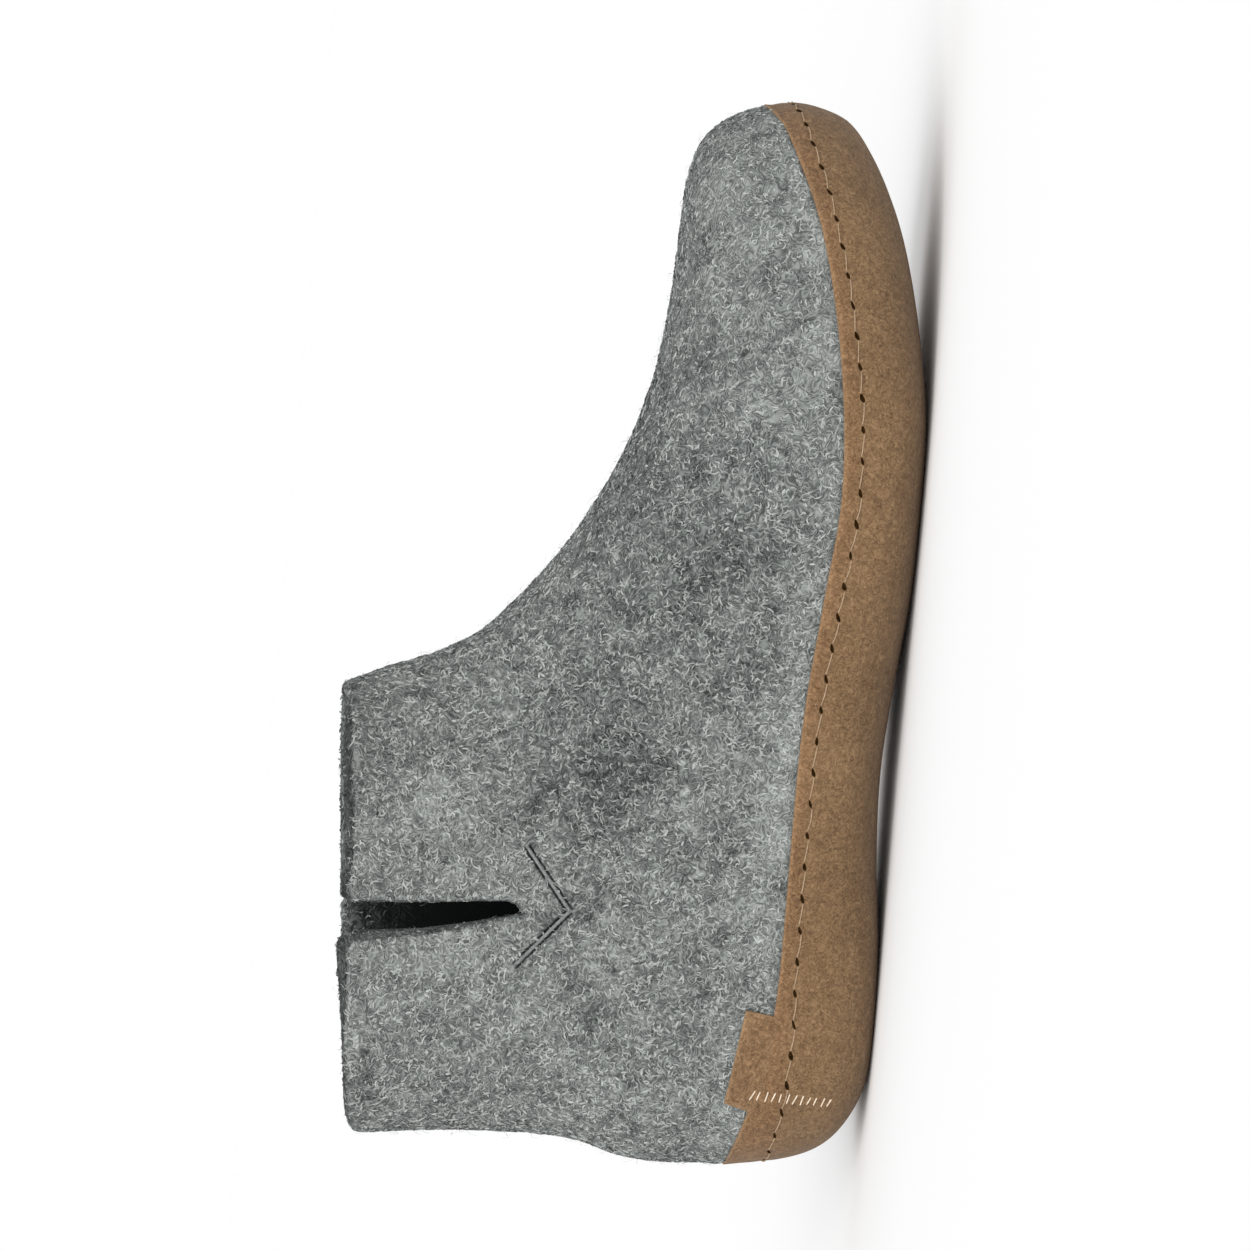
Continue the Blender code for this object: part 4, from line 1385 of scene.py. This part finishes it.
hole_seats, hole_normals = on_leather(seam_points[::PARTS_PER_STITCH], np.zeros(STITCHES))
hole_ways = seam_ways[::PARTS_PER_STITCH]
hole_tilt = HOLE_TILT + HOLE_TILT_SPREAD * random.normal(size=(STITCHES, 1))
hole_ways = unit(hole_ways + np.cross(hole_normals, hole_ways) * hole_tilt * np.sign(hole_normals[:, 1:2]))
hole_mesh = path_mesh("hole_points", [[seat] for seat in hole_seats])
add_vectors(hole_mesh, facing=hole_normals, way=hole_ways)
hole = hole_form()
needle_holes = grown("needle_holes", hole_mesh, hole_tree(), Form=hole, Seed=HOLE_SEED, Material=HOLE_PAINTED_SHADOW)
bpy.data.objects.remove(hole, do_unlink=True)

# %% [markdown]
# A short zigzag bar of pale thread locks the tab to the sole behind it. No two strokes of a sewing
# machine on thick leather lie alike, so each gets a little lean and width of its own. A chevron of grey
# thread, sewn through the felt below each slit, keeps the slit from tearing further.

# %% The sewn bar
BAR_X, BAR_TOP, BAR_BOTTOM, BAR_SLANT = -120.0, 31.4, 10.6, 0.02
BAR_STROKES, BAR_HALF_WIDTH, BAR_RADIUS, BAR_SIDES = 12, 1.25, 0.2, 6
BAR_LEAN, BAR_SHIFT, BAR_WIDTHS = (0.35, 0.2), (0.0, 0.15), (0.8, 1.15)
BAR_LIFT, BAR_DIVE, BAR_ON_TAB, BAR_POINTS = 0.1, 0.4, 0.6, 7

tab_finder = side_finder(tab_outer, tab_faces)


def laid_on(finder, spots, lift, side):
    """Spots seen from beside the boot, laid on a surface and lifted from it."""
    found = [from_side(finder, x, z, side) for x, z in spots]
    return np.array([point + normal / np.linalg.norm(normal) * lift for point, normal in found])


bar_paths = []
share = np.linspace(-1.0, 1.0, BAR_POINTS)
for stroke in range(BAR_STROKES):
    z = BAR_TOP + (BAR_BOTTOM - BAR_TOP) * stroke / (BAR_STROKES - 1)
    lean, shift = random.normal(*BAR_LEAN), random.normal(*BAR_SHIFT)
    width = BAR_HALF_WIDTH * random.uniform(*BAR_WIDTHS)
    spots = np.column_stack([BAR_X + width * share + (z - BAR_TOP) * BAR_SLANT, z + shift - lean * share])
    finder = cup_finder if z < edge_height(BAR_X) - BAR_ON_TAB else tab_finder
    stroke_points = laid_on(finder, spots, BAR_LIFT, -1)
    stroke_points[[0, -1], 1] += BAR_DIVE
    bar_paths.append(stroke_points)
sewn_bar = grown("sewn_bar", path_mesh("sewn_bar", bar_paths), THREAD,
                 Radius=BAR_RADIUS * MM, Sides=BAR_SIDES, Material=BAR_THREAD)

# %% The chevrons under the slits
CHEVRON_RADIUS, CHEVRON_SIDES, CHEVRON_POINTS = 0.52, 8, 22
CHEVRON_SINK, CHEVRON_DIVE, CHEVRON_CROSSING = -0.30, 0.8, 0.06

felt_finder = side_finder(felt_outer, felt_faces)
tip = np.array(CHEVRON_TIP)
chevron_paths = []
for side in (-1, 1):
    for end in np.array(CHEVRON_ENDS):
        start = tip - CHEVRON_CROSSING * (end - tip)
        spots = start + (end - start) * np.linspace(0.0, 1.0, CHEVRON_POINTS)[:, None]
        path = laid_on(felt_finder, spots, CHEVRON_SINK, side)
        path[[0, -1], 1] -= side * CHEVRON_DIVE
        chevron_paths.append(path)
chevrons = grown("slit_chevrons", path_mesh("slit_chevrons", chevron_paths), THREAD,
                 Radius=CHEVRON_RADIUS * MM, Sides=CHEVRON_SIDES, Material=GREY_THREAD)

# %% [markdown]
# ## Loose fibres
# The eye knows felt by its curled fibres. Hair curves would be heavy, so a few flat curls are drawn as
# narrow ribbons, and a Geometry Nodes tree scatters them over the felt with a random turn, size and
# shade. A last pass adds sparse hairs that stand off the surface and soften the outline.

# %% Curled ribbons to scatter
CURL_SEGMENTS = 4
CURL_END_WIDTH, CURL_END = 0.35, 0.06
CURL_LEAN, CURL_LEAN_TURNS = 0.35, 1.7
# Each row is a length, a width, a bend, a twist, a rise in the middle and a tilt towards the end.
CURL_ROWS = (
    (1.5, 0.56, 0.9, 0.2, 0.12, 0.0),
    (2.2, 0.46, -1.6, 0.3, 0.16, 0.0),
    (1.2, 0.60, 0.6, -0.4, 0.10, 0.04),
    (2.7, 0.40, 2.0, 0.2, 0.16, 0.0),
    (1.9, 0.50, -0.9, 0.6, 0.12, 0.04),
    (3.4, 0.32, 1.2, 0.7, 0.18, 0.0),
)
HAIR_ROWS = (
    (3.2, 0.09, 1.4, 0.3, 0.5, 1.0),
    (4.2, 0.08, -1.8, 0.4, 0.7, 1.3),
    (2.6, 0.10, 2.4, -0.3, 0.6, 0.7),
)


def curl_form(number, length, width, bend, twist, rise, tilt):
    """A curled ribbon that rises in its middle. A tilt leaves its end above the surface."""
    share = np.linspace(0.0, 1.0, CURL_SEGMENTS + 1)
    heading = bend * (share - 0.5) + twist * np.sin(2 * math.pi * share)
    along = np.column_stack([np.cos(heading), np.sin(heading)])
    path = np.vstack([[(0.0, 0.0)], np.cumsum(along[:-1] * (length / CURL_SEGMENTS), axis=0)])
    path -= path.mean(axis=0)
    height = rise * np.sin(math.pi * share) + tilt * share
    fullness = np.sin(math.pi * np.clip(share, CURL_END, 1.0 - CURL_END))
    across = np.column_stack([-np.sin(heading), np.cos(heading)]) * 0.5 * width
    across *= (CURL_END_WIDTH + (1.0 - CURL_END_WIDTH) * fullness)[:, None]
    lean = CURL_LEAN * width * np.sin(heading * CURL_LEAN_TURNS + number)
    left = np.column_stack([path + across, height + lean])
    right = np.column_stack([path - across, height - lean])
    points = np.stack([left, right], axis=1).reshape(-1, 3)
    faces = [(2 * k + 1, 2 * k + 3, 2 * k + 2, 2 * k) for k in range(CURL_SEGMENTS)]
    return bpy.data.objects.new(f"curl_{number}", new_mesh(f"curl_{number}", points, faces))


def form_set(name, rows):
    forms = bpy.data.collections.new(name)
    SCENE.collection.children.link(forms)
    for number, row in enumerate(rows):
        forms.objects.link(curl_form(number, *row))
    return forms


CURLS, HAIRS = form_set("curls", CURL_ROWS), form_set("hairs", HAIR_ROWS)

# %% A tree that scatters fibres
FIBRE_LEAN = 0.12
SHADE_SEED_STEP = 11.0


def fibre_tree():
    tree, given = new_tree("fibres", ("Forms", "NodeSocketCollection"), ("Density", "NodeSocketFloat"),
                           ("Small", "NodeSocketFloat"), ("Large", "NodeSocketFloat"),
                           ("Seed", "NodeSocketInt"), ("Material", "NodeSocketMaterial"))
    seed = given["Seed"]
    density = calc(tree, "MULTIPLY", carried(tree, "nap", "FLOAT"), given["Density"])
    scattered = {"Mesh": given["Geometry"], "Density": density, "Seed": seed}
    spots = put(tree, "GeometryNodeDistributePointsOnFaces", scattered, distribute_method="RANDOM").outputs
    spin = random_between(
        tree, (-FIBRE_LEAN, -FIBRE_LEAN, 0.0), (FIBRE_LEAN, FIBRE_LEAN, 2 * math.pi), seed)
    turn = put(tree, "FunctionNodeEulerToRotation", {"Euler": spin}).outputs["Rotation"]
    placed = put(tree, "FunctionNodeRotateRotation",
                 {"Rotation": spots["Rotation"], "Rotate By": turn}, rotation_space="LOCAL")
    chosen = {"Collection": given["Forms"], "Separate Children": True, "Reset Children": True}
    forms = put(tree, "GeometryNodeCollectionInfo", chosen).outputs["Instances"]
    laid = put(tree, "GeometryNodeInstanceOnPoints", {
        "Points": spots["Points"], "Instance": forms, "Pick Instance": True,
        "Rotation": placed.outputs["Rotation"],
        "Scale": random_between(tree, given["Small"], given["Large"], seed)}).outputs["Instances"]
    shade = random_between(tree, 0.0, 1.0, calc(tree, "ADD", seed, SHADE_SEED_STEP))
    stored = {"Geometry": laid, "Name": "shade", "Value": shade}
    shaded = put(tree, "GeometryNodeStoreNamedAttribute", stored, data_type="FLOAT", domain="INSTANCE")
    end_tree(tree, shaded.outputs["Geometry"], given["Material"])
    return tree


# %% Scatter the fibres
FIBRES = fibre_tree()
CURL_PASS = (CURLS, 0.31, 0.6, 1.15)
# Each row is a name, the forms, how many a square millimetre, the smallest and largest size, and a seed.
FIBRE_ROWS = (
    ("curled_fibres_a", *CURL_PASS, 21),
    ("curled_fibres_b", *CURL_PASS, 22),
    ("curled_fibres_c", *CURL_PASS, 23),
    ("stray_hairs", HAIRS, 0.04, 0.6, 1.2, 24),
)
PER_SQUARE_METRE, QUICK_SHARE = 1e6, 0.3

thin = 1.0
for title, forms, per_mm2, small, large, seed in FIBRE_ROWS:
    fibres = grown(title, felt_mesh.copy(), FIBRES, Forms=forms, Density=per_mm2 * thin * PER_SQUARE_METRE,
                   Small=small, Large=large, Seed=seed, Material=FIBRE)
for forms in (CURLS, HAIRS):
    for form in list(forms.objects):
        bpy.data.objects.remove(form, do_unlink=True)
    bpy.data.collections.remove(forms)

# %% [markdown]
# ## Floor, light and camera
# The boot stands on a plain pale floor under a white sky. One broad soft light comes from the camera's
# side, from above and a little from the heel. Two more lamps could brighten the rest, but the sky does
# that more evenly. The camera looks square at the outer side from just above the floor and is rolled
# about a quarter turn, so the toe points up.

# %% Floor
FLOOR_RADIUS, FLOOR_DROP, FLOOR_SIDES = 6.0, 0.0002, 96
FLOOR_COLOUR = (0.93, 0.93, 0.93, 1.0)


def floor_mesh():
    angle = np.linspace(0.0, 2 * math.pi, FLOOR_SIDES, endpoint=False)
    points = np.column_stack([np.cos(angle), np.sin(angle), np.zeros(FLOOR_SIDES)]) * FLOOR_RADIUS / MM
    points[:, 2] = -FLOOR_DROP / MM
    return new_mesh("floor", points, [tuple(range(FLOOR_SIDES))])


floor_material, _, floor_shader = new_material("pale_floor", roughness=0.9, specular=0.1)
floor_shader.inputs["Base Color"].default_value = FLOOR_COLOUR
floor = bpy.data.objects.new("floor", floor_mesh())
floor.data.materials.append(floor_material)
SCENE.collection.objects.link(floor)
print("floor:", 2 * FLOOR_RADIUS, "m across")

# %% Sky and light
SKY_LIGHT, SKY_SEEN = 0.70, 1.0
AIM = Vector((0.0, 0.0, 0.07))
LIGHT_PLACE, LIGHT_SPREAD, LIGHT_POWER = Vector((-0.15, -1.0, 0.62)), math.radians(50.0), 2.55

world = bpy.data.worlds.new("white_sky")
SCENE.world = world
world.use_nodes = True
sky = world.node_tree.nodes["Background"]
sky.inputs["Color"].default_value = (1.0, 1.0, 1.0, 1.0)
camera_ray = put(world.node_tree, "ShaderNodeLightPath").outputs["Is Camera Ray"]
strengths = {"Value": camera_ray, "To Min": SKY_LIGHT, "To Max": SKY_SEEN}
strength = put(world.node_tree, "ShaderNodeMapRange", strengths).outputs["Result"]
world.node_tree.links.new(strength, sky.inputs["Strength"])

light_data = bpy.data.lights.new("window_light", "SUN")
light_data.angle, light_data.energy = LIGHT_SPREAD, LIGHT_POWER
light = bpy.data.objects.new("window_light", light_data)
light.location = LIGHT_PLACE
light.rotation_euler = (AIM - LIGHT_PLACE).to_track_quat("-Z", "Y").to_euler()
SCENE.collection.objects.link(light)
SCENE.view_settings.view_transform = "Standard"
print("light:", light.name, light_data.energy)

# %% Camera
LENS, SENSOR, FRAME_SIDE = 400.0, 36.0, 0.332
ELEVATION, ROLL_LEAN = math.radians(3.0), math.radians(4.9)
CLIP_NEAR, CLIP_FAR = 0.05, 50.0

toe_way = Vector((1.0, 0.0, 0.0))
looking = Vector((0.0, math.cos(ELEVATION), -math.sin(ELEVATION)))
upright = toe_way.cross(looking)
image_up = math.cos(ROLL_LEAN) * toe_way + math.sin(ROLL_LEAN) * upright
image_right = looking.cross(image_up)
centre = (CAD_BOX[0] + CAD_BOX[1]) / 2
distance = FRAME_SIDE / 2 * LENS / (SENSOR / 2)
camera_data = bpy.data.cameras.new("camera")
camera_data.lens, camera_data.sensor_width = LENS, SENSOR
camera_data.dof.use_dof = False
camera_data.clip_start, camera_data.clip_end = CLIP_NEAR, CLIP_FAR
camera = bpy.data.objects.new("camera", camera_data)
axes = Matrix((image_right, image_up, -looking)).transposed()
camera.matrix_world = Matrix.Translation(centre - looking * distance) @ axes.to_4x4()
SCENE.collection.objects.link(camera)
SCENE.camera = camera
print("camera:", [round(v, 3) for v in camera.location])
